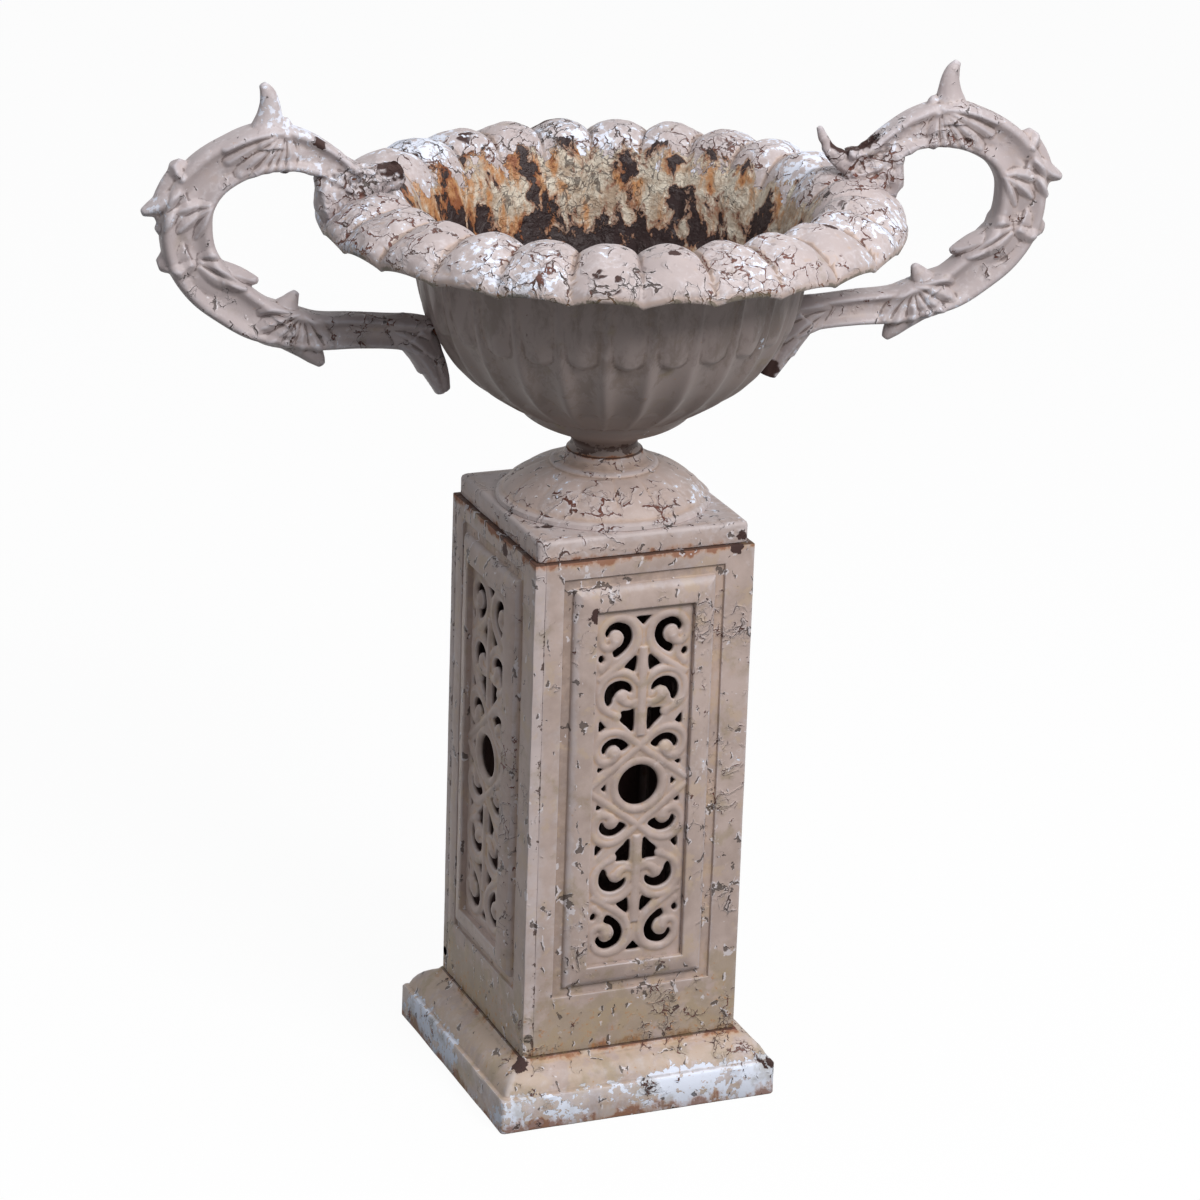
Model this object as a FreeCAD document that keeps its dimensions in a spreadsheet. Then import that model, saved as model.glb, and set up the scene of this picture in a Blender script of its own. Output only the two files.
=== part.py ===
import FreeCAD, Part
import math
import os
import Sketcher
from FreeCAD import Placement, Rotation, Vector

# Garden urn on a square pierced pedestal, in millimetres.
# +Z is up, the origin lies on the floor under the middle of the base, the front faces -Y,
# and the handles stand along X, turned a little with the bowl.

SIZES = (
    # Base casting: a plain fillet, a small step and a rounded slope up to the panels.
    ("base_width", 245.0),
    ("base_height", 53.0),
    ("base_fillet_height", 29.0),
    ("base_step_depth", 4.0),
    ("base_step_rise", 2.0),
    ("base_cove", 2.5),
    ("base_slope_radius", 42.0),
    ("base_reveal", 1.5),
    ("base_lip_rise", 4.0),
    ("base_wall", 9.0),
    ("base_ledge", 8.0),
    ("base_bolt_seat", 13.0),
    # Panels: four like castings, each butted at one end against its neighbour.
    ("pedestal_width", 190.0),
    ("panel_height", 431.0),
    ("panel_thickness", 9.0),
    ("stile_width", 25.0),
    ("bottom_rail", 50.0),
    ("top_rail", 15.0),
    ("moulding_recess", 2.4),
    ("moulding_flat", 9.0),
    ("moulding_slope", 18.5),
    ("moulding_lip", 1.5),
    ("moulding_rise", 8.4),
    ("moulding_hollow", 6.0),
    # Scroll grille in the window.
    ("grille_thickness", 5.0),
    ("grille_seat", 1.0),
    ("ring_hole", 35.0),
    ("bulb_rise", 1.6),
    # Lugs and fasteners inside the pedestal.
    ("ear_thickness", 6.0),
    ("ear_depth", 24.0),
    ("ear_height", 24.0),
    ("ear_inset", 27.0),
    ("screw_diameter", 6.0),
    ("screw_bite", 6.5),
    ("lug_width", 30.0),
    ("lug_depth", 22.0),
    ("lug_thickness", 7.0),
    ("base_bolt_diameter", 8.0),
    ("pin_diameter", 8.0),
    ("pin_length", 16.0),
    ("pin_height", 16.7),
    ("hole_clearance", 0.4),
    # Foot of the urn: a square plate and a moulded stem.
    ("foot_plate_width", 182.0),
    ("foot_plate_thickness", 18.0),
    ("foot_ring_radius", 88.0),
    ("foot_stem_height", 43.0),
    ("foot_dome_radius", 52.0),
    ("foot_hollow_radius", 76.0),
    ("foot_wall", 9.0),
    # Bowl: fluted body, rolled rim with rounded lobes.
    ("bowl_turn", -7.2),
    ("bowl_radius", 160.0),
    ("bowl_body_height", 155.0),
    ("bowl_wall", 8.0),
    ("flute_depth", 2.6),
    ("dish_radius", 70.0),
    ("rim_radius", 236.0),
    ("rim_height", 215.0),
    ("rim_edge_drop", 22.0),
    ("rim_crest_radius", 187.0),
    ("rim_throat_drop", 32.0),
    ("rim_thickness", 8.0),
    ("lobe_count", 26.0),
    ("lobe_offset", -2.1),
    ("lobe_height", 9.0),
    ("edge_wave", 5.0),
    # Handles: leafy scrolls, one casting used twice.
    ("handle_reach", 145.0),
    ("handle_height", 156.0),
    ("handle_foot_height", 105.0),
    ("handle_thickness", 40.0),
    ("handle_width", 27.0),
    ("handle_clearance", 0.3),
    ("handle_bolt_diameter", 8.0),
    ("handle_boss_radius", 9.0),
    ("handle_boss_length", 13.0),
    ("handle_screw_bite", 20.0),
    # Bolt that holds the bowl to its foot.
    ("stem_bolt_diameter", 12.0),
    ("washer_width", 30.0),
    ("washer_thickness", 2.5),
)

doc = FreeCAD.newDocument("GardenUrn")
sheet = doc.addObject("Spreadsheet::Sheet", "Size")
for row, (alias, amount) in enumerate(SIZES, start=1):
    sheet.set(f"A{row}", alias.replace("_", " "))
    sheet.set(f"B{row}", str(amount))
    sheet.setAlias(f"B{row}", alias)
doc.recompute()


def number(expression):
    """Value of an expression that reads the size table."""
    return float(sheet.evalExpression(str(expression)))


def size(alias):
    """Value of one size."""
    return number(f"Size.{alias}")


# Drawing helpers

def origin_plane(body, role):
    for feature in body.Origin.OriginFeatures:
        if feature.Role == role:
            return feature


def new_sketch(body, name, role, offset):
    """Empty sketch on one of the body's own planes, moved along its normal by an expression."""
    sketch = body.newObject("Sketcher::SketchObject", name)
    sketch.AttachmentSupport = (origin_plane(body, role), [""])
    sketch.MapMode = "FlatFace"
    sketch.setExpression("AttachmentOffset.Base.z", offset)
    return sketch


def fix(sketch, kind, line, end, expression):
    """Ties one coordinate of a corner to an expression."""
    value = number(expression)
    if abs(value) < 1e-9:
        axis = -2 if kind == "DistanceX" else -1
        sketch.addConstraint(Sketcher.Constraint("PointOnObject", line, end, axis))
        return
    index = sketch.addConstraint(Sketcher.Constraint(kind, -1, 1, line, end, value))
    sketch.setExpression(f"Constraints[{index}]", expression)


def draw_outline(sketch, corners, arcs=None):
    """Closed outline through corners given as pairs of expressions.

    arcs maps the number of a side to the expression of its radius; a side with an arc turns
    to the left, and to the right if its radius is written with a leading minus."""
    arcs = arcs or {}
    points = [Vector(number(x), number(y), 0) for x, y in corners]
    first = sketch.GeometryCount
    starts = []
    for side, start in enumerate(points):
        end = points[(side + 1) % len(points)]
        if side not in arcs:
            line = sketch.addGeometry(Part.LineSegment(start, end), False)
            starts.append((line, 1, 2))
            continue
        radius = number(arcs[side])
        chord = end.sub(start)
        middle = (start + end) * 0.5
        left = Vector(-chord.y, chord.x, 0).normalize()
        rise = math.sqrt(radius ** 2 - (chord.Length / 2) ** 2)
        centre = middle + left * math.copysign(rise, radius)
        ends = (start, end) if radius > 0 else (end, start)
        angles = [math.atan2(p.y - centre.y, p.x - centre.x) for p in ends]
        circle = Part.Circle(centre, Vector(0, 0, 1), abs(radius))
        line = sketch.addGeometry(Part.ArcOfCircle(circle, angles[0], angles[1]), False)
        starts.append((line, 1, 2) if radius > 0 else (line, 2, 1))
        index = sketch.addConstraint(Sketcher.Constraint("Radius", line, abs(radius)))
        sketch.setExpression(f"Constraints[{index}]", arcs[side].lstrip("-"))
    for side, (line, start, end) in enumerate(starts):
        after, after_start, _ = starts[(side + 1) % len(starts)]
        sketch.addConstraint(Sketcher.Constraint("Coincident", line, end, after, after_start))
        fix(sketch, "DistanceX", line, start, corners[side][0])
        fix(sketch, "DistanceY", line, start, corners[side][1])
    return first


def draw_rectangle(sketch, left, right, bottom, top):
    corners = ((left, bottom), (right, bottom), (right, top), (left, top))
    draw_outline(sketch, corners)


def draw_circle(sketch, x, y, radius):
    circle = Part.Circle(Vector(number(x), number(y), 0), Vector(0, 0, 1), number(radius))
    line = sketch.addGeometry(circle, False)
    fix(sketch, "DistanceX", line, 3, x)
    fix(sketch, "DistanceY", line, 3, y)
    index = sketch.addConstraint(Sketcher.Constraint("Radius", line, number(radius)))
    sketch.setExpression(f"Constraints[{index}]", radius)


def extrude(body, kind, name, sketch, length, backwards=False):
    """Pad or pocket of a sketch over a length given as an expression."""
    feature = body.newObject(f"PartDesign::{kind}", name)
    feature.Profile = sketch
    feature.setExpression("Length", length)
    feature.Reversed = backwards
    return feature


def turn(body, kind, name, sketch):
    """Full revolution or groove about the sketch's upright axis."""
    feature = body.newObject(f"PartDesign::{kind}", name)
    feature.Profile = sketch
    feature.ReferenceAxis = (sketch, ["V_Axis"])
    feature.Angle = 360
    return feature


def loft(body, kind, name, first, last):
    feature = body.newObject(f"PartDesign::{kind}", name)
    feature.Profile = first
    feature.Sections = [last]
    feature.Ruled = True
    return feature


def shape_node(label, shape, turn_angle="0"):
    """Named piece whose shape is set by code and whose place follows the size table."""
    node = doc.addObject("Part::Feature", label)
    node.Label = label
    node.Shape = shape
    turned = Placement(Vector(), Rotation(Vector(0, 0, 1), number(turn_angle)))
    node.Placement = turned.multiply(shape.Placement)
    return node


def hex_prism(across, length):
    """Hexagon of the given width across its flats, standing on the XY plane."""
    corner = across / math.sqrt(3)
    angles = [math.radians(60 * side) for side in range(7)]
    points = [Vector(corner * math.cos(a), corner * math.sin(a), 0) for a in angles]
    return Part.Face(Part.makePolygon(points)).extrude(Vector(0, 0, length))


def bolt(diameter, length):
    """Hexagon-headed bolt: the head stands on the XY plane and the shank hangs below."""
    head = hex_prism(HEAD_WIDTH_SHARE * diameter, HEAD_HEIGHT_SHARE * diameter)
    shank = Part.makeCylinder(diameter / 2, length, Vector(0, 0, 0), Vector(0, 0, -1))
    return head.fuse(shank).removeSplitter()


def nut(diameter):
    """Hexagon nut that hangs below the XY plane."""
    height = NUT_HEIGHT_SHARE * diameter
    blank = hex_prism(HEAD_WIDTH_SHARE * diameter, height)
    blank.translate(Vector(0, 0, -height))
    bore = Part.makeCylinder(diameter / 2, height, Vector(0, 0, -height))
    return blank.cut(bore)


def washer(diameter, width, thickness):
    """Round washer whose top lies on the XY plane."""
    start = Vector(0, 0, -thickness)
    disc = Part.makeCylinder(width / 2, thickness, start)
    return disc.cut(Part.makeCylinder(diameter / 2, thickness, start))


def placed(shape, spot, rotation=None):
    """Copy of a shape at a spot."""
    copy = shape.copy()
    copy.Placement = Placement(spot, rotation or Rotation())
    return copy


# Widths and heights of heads and nuts as shares of the bolt's diameter
HEAD_WIDTH_SHARE = 1.65
HEAD_HEIGHT_SHARE = 0.65
NUT_HEIGHT_SHARE = 0.8

QUARTERS = 4


# Base casting

def build_base():
    """Square moulded base: the profile is padded one way and trimmed the other, which mitres it."""
    body = doc.addObject("PartDesign::Body", "pedestal_base")
    half = "Size.base_width / 2"
    step = f"{half} - Size.base_step_depth"
    slope_low = "Size.base_fillet_height + Size.base_step_rise"
    slope_top = "Size.base_height - Size.base_lip_rise"
    lip = "Size.pedestal_width / 2 + Size.base_reveal"
    slope_in = f"{lip} + Size.base_cove"

    # Profile from the middle of the floor up the right side and down the left side.
    right = (
        (half, "0"),
        (half, "Size.base_fillet_height"),
        (step, slope_low),
        (slope_in, slope_top),
        (lip, "Size.base_height"),
    )
    left = tuple((f"-({x})", y) for x, y in reversed(right))
    profile = new_sketch(body, "base_profile", "XZ_Plane", f"-({half})")
    draw_outline(profile, right + left, {2: "Size.base_slope_radius", 6: "Size.base_slope_radius"})
    extrude(body, "Pad", "base_block", profile, "Size.base_width")

    # The same outline trims the two other sides.
    trim = new_sketch(body, "base_trim", "YZ_Plane", f"-({half})")
    overrun = f"{half} + Size.base_wall"
    roof = "Size.base_height + Size.base_wall"
    outside = right + ((lip, roof), (overrun, roof), (overrun, "0"))
    draw_outline(trim, outside, {2: "Size.base_slope_radius"})
    mirrored = tuple((f"-({x})", y) for x, y in outside)
    draw_outline(trim, mirrored, {2: "-Size.base_slope_radius"})
    extrude(body, "Pocket", "base_sides", trim, "Size.base_width", backwards=True)

    # Underside: drafted hollow up to the ledge, then the opening through the ledge.
    low = f"{half} - Size.base_wall"
    high = f"{slope_in} - Size.base_wall"
    floor = new_sketch(body, "hollow_floor", "XY_Plane", "0")
    draw_rectangle(floor, f"-({low})", low, f"-({low})", low)
    ceiling = new_sketch(body, "hollow_ceiling", "XY_Plane", "Size.base_height - Size.base_ledge")
    draw_rectangle(ceiling, f"-({high})", high, f"-({high})", high)
    loft(body, "SubtractiveLoft", "base_hollow", floor, ceiling)
    opening = new_sketch(body, "ledge_opening", "XY_Plane", "Size.base_height")
    edge = f"({LUG_HOLE} - Size.base_bolt_seat)"
    draw_rectangle(opening, f"-({edge})", edge, f"-({edge})", edge)
    extrude(body, "Pocket", "ledge_hole", opening, "Size.base_height")

    # One bolt hole in each side of the ledge.
    hole = new_sketch(body, "bolt_hole", "XY_Plane", "Size.base_height")
    draw_circle(hole, "0", f"-({LUG_HOLE})", "(Size.base_bolt_diameter + Size.hole_clearance) / 2")
    pocket = extrude(body, "Pocket", "bolt_pocket", hole, "Size.base_height")
    pattern = body.newObject("PartDesign::PolarPattern", "bolt_holes")
    pattern.Originals = [pocket]
    pattern.Axis = (hole, ["N_Axis"])
    pattern.Angle = 360
    pattern.Occurrences = QUARTERS
    body.Tip = pattern
    body.Label = "pedestal_base"
    return body


# Distances that panels, base and fasteners share, as expressions
PANEL_FACE = "Size.pedestal_width / 2"
PANEL_BACK = "(Size.pedestal_width / 2 - Size.panel_thickness)"
LUG_HOLE = "(Size.pedestal_width / 2 - Size.panel_thickness - Size.lug_depth / 2)"
EAR_HOLE = "(Size.pedestal_width / 2 - Size.panel_thickness - Size.ear_depth / 2)"
STEP_HALF = "(Size.pedestal_width / 2 - Size.stile_width)"
SLOPE_HALF = f"({STEP_HALF} - Size.moulding_flat)"
WINDOW_HALF = f"({SLOPE_HALF} - Size.moulding_slope)"
WINDOW_LOW = "(Size.bottom_rail + Size.moulding_flat + Size.moulding_slope)"
WINDOW_HIGH = "(Size.panel_height - Size.top_rail - Size.moulding_flat - Size.moulding_slope)"
EAR_HEIGHTS = ("Size.ear_inset", "(Size.panel_height - Size.ear_inset)")


# Pierced panels

def build_panel_plate(name):
    """Plate of one panel in the front place, standing on the base: rails, moulding, window and lugs."""
    body = doc.addObject("PartDesign::Body", name)
    plate = new_sketch(body, name + "_outline", "XZ_Plane", PANEL_BACK)
    draw_rectangle(plate, f"-{PANEL_BACK}", PANEL_FACE, "0", "Size.panel_height")
    extrude(body, "Pad", name + "_sheet", plate, "Size.panel_thickness")

    # Moulding round the window: a sunk flat, then a slope that rises past the face.
    sunk = new_sketch(body, name + "_step", "XZ_Plane", PANEL_FACE)
    step_high = "Size.panel_height - Size.top_rail"
    draw_rectangle(sunk, f"-{STEP_HALF}", STEP_HALF, "Size.bottom_rail", step_high)
    extrude(body, "Pocket", name + "_sunk_flat", sunk, "Size.moulding_recess")
    foot_plane = "Size.pedestal_width / 2 - Size.moulding_recess"
    slope_low = "Size.bottom_rail + Size.moulding_flat"
    slope_high = f"{step_high} - Size.moulding_flat"
    foot = new_sketch(body, name + "_slope_foot", "XZ_Plane", foot_plane)
    draw_rectangle(foot, f"-{SLOPE_HALF}", SLOPE_HALF, slope_low, slope_high)
    crest = new_sketch(body, name + "_slope_crest", "XZ_Plane", f"{foot_plane} + Size.moulding_rise")
    lip_half = f"({WINDOW_HALF} + Size.moulding_lip)"
    lip_low = f"{WINDOW_LOW} - Size.moulding_lip"
    lip_high = f"{WINDOW_HIGH} + Size.moulding_lip"
    draw_rectangle(crest, f"-{lip_half}", lip_half, lip_low, lip_high)
    loft(body, "AdditiveLoft", name + "_slope", foot, crest)

    # Hollow back behind the slope, so that the casting keeps an even wall, with a rim round the window.
    back = new_sketch(body, name + "_hollow_mouth", "XZ_Plane", PANEL_BACK)
    mouth_low = f"{slope_low} + Size.moulding_lip"
    mouth_high = f"{slope_high} - Size.moulding_lip"
    mouth_half = f"({SLOPE_HALF} - Size.moulding_lip)"
    draw_rectangle(back, f"-{mouth_half}", mouth_half, mouth_low, mouth_high)
    deep = new_sketch(body, name + "_hollow_end", "XZ_Plane", f"{PANEL_BACK} + Size.moulding_hollow")
    end_half = f"({WINDOW_HALF} + Size.grille_thickness)"
    end_low = f"{WINDOW_LOW} - Size.grille_thickness"
    end_high = f"{WINDOW_HIGH} + Size.grille_thickness"
    draw_rectangle(deep, f"-{end_half}", end_half, end_low, end_high)
    loft(body, "SubtractiveLoft", name + "_hollow", back, deep)
    rim = new_sketch(body, name + "_rim_outline", "XZ_Plane", PANEL_BACK)
    draw_rectangle(rim, f"-{end_half}", end_half, end_low, end_high)
    extrude(body, "Pad", name + "_rim", rim, "Size.moulding_hollow")
    window = new_sketch(body, name + "_window", "XZ_Plane", f"{PANEL_FACE} + Size.panel_thickness")
    draw_rectangle(window, f"-{WINDOW_HALF}", WINDOW_HALF, WINDOW_LOW, WINDOW_HIGH)
    extrude(body, "Pocket", name + "_window_cut", window, "3 * Size.panel_thickness")

    # Foot lug with a bolt hole, resting on the base's ledge.
    lug = new_sketch(body, name + "_lug", "XZ_Plane", PANEL_BACK)
    draw_rectangle(lug, "-Size.lug_width / 2", "Size.lug_width / 2", "0", "Size.lug_thickness")
    extrude(body, "Pad", name + "_foot_lug", lug, "Size.lug_depth", backwards=True)
    lug_hole = new_sketch(body, name + "_lug_hole", "XY_Plane", "Size.lug_thickness")
    lug_bore = "(Size.base_bolt_diameter + Size.hole_clearance) / 2"
    draw_circle(lug_hole, "0", f"-{LUG_HOLE}", lug_bore)
    extrude(body, "Pocket", name + "_lug_bore", lug_hole, "Size.lug_thickness")

    # Two ears at the butted end, and tapped holes for the next panel's ears.
    ears = new_sketch(body, name + "_ears", "XZ_Plane", PANEL_BACK)
    ear_in = f"-{PANEL_BACK} + Size.ear_thickness"
    for height in EAR_HEIGHTS:
        low = f"{height} - Size.ear_height / 2"
        draw_rectangle(ears, f"-{PANEL_BACK}", ear_in, low, f"{height} + Size.ear_height / 2")
    extrude(body, "Pad", name + "_ear_pair", ears, "Size.ear_depth", backwards=True)
    ear_holes = new_sketch(body, name + "_ear_holes", "YZ_Plane", ear_in)
    taps = new_sketch(body, name + "_taps", "XZ_Plane", PANEL_BACK)
    for height in EAR_HEIGHTS:
        draw_circle(ear_holes, f"-{EAR_HOLE}", height, "(Size.screw_diameter + Size.hole_clearance) / 2")
        draw_circle(taps, EAR_HOLE, height, "Size.screw_diameter / 2")
    extrude(body, "Pocket", name + "_ear_bores", ear_holes, "Size.ear_thickness")
    extrude(body, "Pocket", name + "_tap_bores", taps, "Size.screw_bite", backwards=True)

    # Hole for the flush pin in the end that shows at the corner.
    pin = new_sketch(body, name + "_pin", "YZ_Plane", PANEL_FACE)
    pin_depth = "Size.pedestal_width / 2 - Size.panel_thickness / 2"
    draw_circle(pin, f"-({pin_depth})", "Size.pin_height", "Size.pin_diameter / 2")
    extrude(body, "Pocket", name + "_pin_bore", pin, "Size.pin_length")
    return body


# Pierced scroll work, one quarter of the window: points are shares of half the window's width and height,
# measured from its middle. Each eye is a rounded opening closed by a straight side, with a bulb over
# that side, given by its middle and its radius as a share of half the window's width.
EYES = (
    (
        ((0.706, 0.190), (0.764, 0.199), (0.784, 0.225), (0.729, 0.254), (0.612, 0.273), (0.471, 0.275),
         (0.329, 0.257), (0.224, 0.225)),
        (0.529, 0.193, 0.165),
    ),
    (
        ((0.682, 0.460), (0.753, 0.495), (0.753, 0.540), (0.682, 0.576), (0.541, 0.595), (0.400, 0.595),
         (0.259, 0.576), (0.200, 0.547), (0.212, 0.521)),
        (0.412, 0.502, 0.165),
    ),
    (
        ((0.565, 0.727), (0.353, 0.765), (0.247, 0.810), (0.235, 0.855), (0.329, 0.900), (0.518, 0.923),
         (0.706, 0.916), (0.788, 0.887), (0.776, 0.855)),
        (0.576, 0.826, 0.176),
    ),
)
# Small openings between scrolls, bar and frame
CHINKS = (
    ((0.86, 0.084), (0.86, 0.122), (0.718, 0.113)),
    ((0.141, 0.305), (0.282, 0.334), (0.435, 0.376), (0.400, 0.402), (0.435, 0.424), (0.212, 0.428),
     (0.141, 0.441)),
    ((0.86, 0.315), (0.86, 0.392), (0.706, 0.341)),
    ((0.153, 0.633), (0.282, 0.653), (0.400, 0.662), (0.129, 0.733)),
    ((0.788, 0.717), (0.835, 0.704), (0.906, 0.720), (0.894, 0.746), (0.824, 0.746)),
)
# Openings that lie across a middle line: at the ring's sides and under the window's top
RING_CHINK = ((0.670, -0.029), (0.776, 0.000), (0.670, 0.029))
TOP_CHINK = ((-0.176, 0.945), (0.000, 0.894), (0.176, 0.945))

# Straight pieces in the rounded part of an eye, and sides of bulb and ring
EYE_STEPS = 13
BULB_SIDES = 12
RING_SIDES = 24


def polygon_face(points):
    return Part.Face(Part.makePolygon(points + points[:1]))


def disc_face(centre, radius, sides):
    """Flat many-sided disc in the XZ plane."""
    angles = [2 * math.pi * side / sides for side in range(sides)]
    return polygon_face([centre + Vector(math.cos(a), 0, math.sin(a)) * radius for a in angles])


def rectangle_face(left, right, low, high):
    corners = ((left, low), (right, low), (right, high), (left, high))
    return polygon_face([Vector(x, 0, z) for x, z in corners])


def eye_face(points):
    """Opening with a smooth curved rim, closed by a straight side from the last point to the first."""
    curve = Part.BSplineCurve()
    curve.interpolate(points)
    return polygon_face(curve.toShape().discretize(Number=EYE_STEPS + 1))


def build_grille():
    """Pierced grille in the front window: scrolls, a ring and a bar in one flat casting, with raised bulbs."""
    half_width = number(WINDOW_HALF)
    low = number(WINDOW_LOW)
    high = number(WINDOW_HIGH)
    middle = Vector(0, 0, (low + high) / 2)
    half_height = (high - low) / 2
    thickness = size("grille_thickness")
    rise = size("bulb_rise")

    def spot(share_x, share_z, side=1, way=1):
        return middle + Vector(side * share_x * half_width, 0, way * share_z * half_height)

    openings = [disc_face(middle, size("ring_hole") / 2, RING_SIDES)]
    bulbs = []
    for side in (-1, 1):
        openings.append(polygon_face([spot(x, z, side) for x, z in RING_CHINK]))
        openings.append(polygon_face([spot(x, z, way=side) for x, z in TOP_CHINK]))
        for way in (-1, 1):
            for chink in CHINKS:
                openings.append(polygon_face([spot(x, z, side, way) for x, z in chink]))
            for rim, (bulb_x, bulb_z, radius_share) in EYES:
                bulb = disc_face(spot(bulb_x, bulb_z, side, way), radius_share * half_width, BULB_SIDES)
                bulbs.append(bulb.extrude(Vector(0, thickness + rise, 0)))
                openings.append(eye_face([spot(x, z, side, way) for x, z in rim]).cut(bulb))

    seat = size("grille_seat")
    frame = rectangle_face(-half_width - seat, half_width + seat, low - seat, high + seat)
    plate = frame.cut(openings).extrude(Vector(0, thickness, 0))
    plate.translate(Vector(0, rise, 0))
    grille = plate.multiFuse(bulbs).removeSplitter()
    grille.translate(Vector(0, -number(PANEL_BACK) - thickness - rise, 0))
    return grille


def build_panels():
    """Four panels, each the front one turned by a further quarter about the pedestal's axis."""
    grille_shape = build_grille()
    for label, angle in PANEL_ANGLES:
        plate = build_panel_plate(label + "_plate")
        grille = doc.addObject("Part::Feature", label + "_grille")
        grille.Shape = grille_shape
        panel = doc.addObject("Part::Fuse", label)
        panel.Base = plate
        panel.Tool = grille
        panel.Label = label
        panel.Placement = Placement(Vector(0, 0, size("base_height")), Rotation(Vector(0, 0, 1), angle))
        panel.setExpression("Placement.Base.z", "Size.base_height")


PANEL_ANGLES = (("front_panel", 0), ("right_panel", 90), ("back_panel", 180), ("left_panel", 270))


def around_pedestal(shapes):
    """Copies of the shapes turned by each quarter about the pedestal's axis."""
    copies = []
    for quarter in range(QUARTERS):
        rotation = Rotation(Vector(0, 0, 1), 360 * quarter / QUARTERS)
        for shape in shapes:
            copy = shape.copy()
            copy.Placement = Placement(Vector(), rotation).multiply(copy.Placement)
            copies.append(copy)
    return Part.makeCompound(copies)


def build_pedestal_fasteners():
    base_height = size("base_height")
    inward = Rotation(Vector(0, 0, 1), Vector(1, 0, 0))

    # Screws through the ears, from inside the pedestal.
    ear_face = -number(PANEL_BACK) + size("ear_thickness")
    screw = bolt(size("screw_diameter"), size("ear_thickness") + size("screw_bite"))
    spots = [Vector(ear_face, -number(EAR_HOLE), base_height + number(h)) for h in EAR_HEIGHTS]
    shape_node("corner_screws", around_pedestal([placed(screw, spot, inward) for spot in spots]))

    # Flush pins in the panel ends.
    pin = Part.makeCylinder(size("pin_diameter") / 2, size("pin_length"))
    pin_y = -number(PANEL_FACE) + size("panel_thickness") / 2
    pin_spot = Vector(number(PANEL_FACE) - size("pin_length"), pin_y, base_height + size("pin_height"))
    shape_node("corner_pins", around_pedestal([placed(pin, pin_spot, inward)]))

    # Bolts through the foot lugs and the ledge, with washers and nuts below.
    bolt_y = -number(LUG_HOLE)
    diameter = size("base_bolt_diameter")
    lug_top = base_height + size("lug_thickness")
    ledge_low = base_height - size("base_ledge")
    washer_low = ledge_low - size("washer_thickness")
    grip = lug_top - washer_low
    length = grip + (NUT_HEIGHT_SHARE + END_SHARE) * diameter
    shape_node("base_bolts", around_pedestal([placed(bolt(diameter, length), Vector(0, bolt_y, lug_top))]))
    ring = washer(diameter, BASE_WASHER_SHARE * diameter, size("washer_thickness"))
    shape_node("base_washers", around_pedestal([placed(ring, Vector(0, bolt_y, ledge_low))]))
    shape_node("base_nuts", around_pedestal([placed(nut(diameter), Vector(0, bolt_y, washer_low))]))


# Washer width and the bolt's end beyond its nut, as shares of the bolt's diameter
BASE_WASHER_SHARE = 2.2
END_SHARE = 0.3


# Foot of the urn

FOOT_LOW = "(Size.base_height + Size.panel_height)"
STEM_LOW = f"({FOOT_LOW} + Size.foot_plate_thickness)"
STEM_TOP = f"({STEM_LOW} + Size.foot_stem_height)"

# Outline of the moulded stem: shares of the ring's radius and of the stem's height
STEM_OUTLINE_SHARES = (
    (1.00, 0.00), (1.00, 0.13), (0.94, 0.18), (0.50, 0.66), (0.50, 0.74), (0.43, 0.78), (0.35, 1.00),
)
DOME_SIDE = 2
HOLLOW_OUTLINE_SHARES = ((1.00, 0.00), (1.00, 0.20), (0.62, 0.62), (0.28, 0.78))


def build_foot():
    """Square plate and round stem, cast in one and hollow below."""
    body = doc.addObject("PartDesign::Body", "urn_foot")
    plate = new_sketch(body, "foot_plate", "XY_Plane", FOOT_LOW)
    half = "Size.foot_plate_width / 2"
    draw_rectangle(plate, f"-{half}", half, f"-{half}", half)
    extrude(body, "Pad", "foot_slab", plate, "Size.foot_plate_thickness")

    stem = new_sketch(body, "stem_outline", "XZ_Plane", "0")
    plate_middle = f"{STEM_LOW} - Size.foot_plate_thickness / 2"
    outer = tuple(
        (f"{share_x} * Size.foot_ring_radius", f"{STEM_LOW} + {share_z} * Size.foot_stem_height")
        for share_x, share_z in STEM_OUTLINE_SHARES
    )
    corners = (("0", plate_middle), ("Size.foot_ring_radius", plate_middle)) + outer[1:] + (("0", STEM_TOP),)
    draw_outline(stem, corners, {DOME_SIDE + 1: "Size.foot_dome_radius"})
    turn(body, "Revolution", "foot_stem", stem)

    # Hollow underside and the bolt's hole through the neck.
    hollow = new_sketch(body, "foot_hollow_outline", "XZ_Plane", "0")
    hollow_height = "(Size.foot_plate_thickness + Size.foot_stem_height)"
    inner = tuple(
        (f"{share_x} * Size.foot_hollow_radius", f"{FOOT_LOW} + {share_z} * {hollow_height}")
        for share_x, share_z in HOLLOW_OUTLINE_SHARES
    )
    corners = (("0", FOOT_LOW),) + inner + (("0", inner[-1][1]),)
    draw_outline(hollow, corners)
    turn(body, "Groove", "foot_hollow", hollow)
    bore = new_sketch(body, "foot_bore_circle", "XY_Plane", STEM_TOP)
    draw_circle(bore, "0", "0", "(Size.stem_bolt_diameter + Size.hole_clearance) / 2")
    extrude(body, "Pocket", "foot_bore", bore, "Size.foot_stem_height")
    body.Label = "urn_foot"


# Bowl

# Outer wall of the body: shares of the bowl's radius and of the body's height
BODY_OUTLINE_SHARES = ((0.465, 0.245), (0.675, 0.387), (0.795, 0.516), (0.915, 0.71), (1.00, 1.00))
DISH_OUTLINE_SHARES = (
    (0.43, 0.00), (0.39, 0.10), (0.385, 0.18), (0.44, 0.29), (0.57, 0.44), (0.81, 0.66), (0.97, 0.84),
    (1.00, 1.08),
)
DISH_HEIGHT_SHARE = 0.245
# Points across one lobe, from crease to crease
LOBE_SHARES = (0.0, 0.2, 0.5, 0.8)


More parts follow.
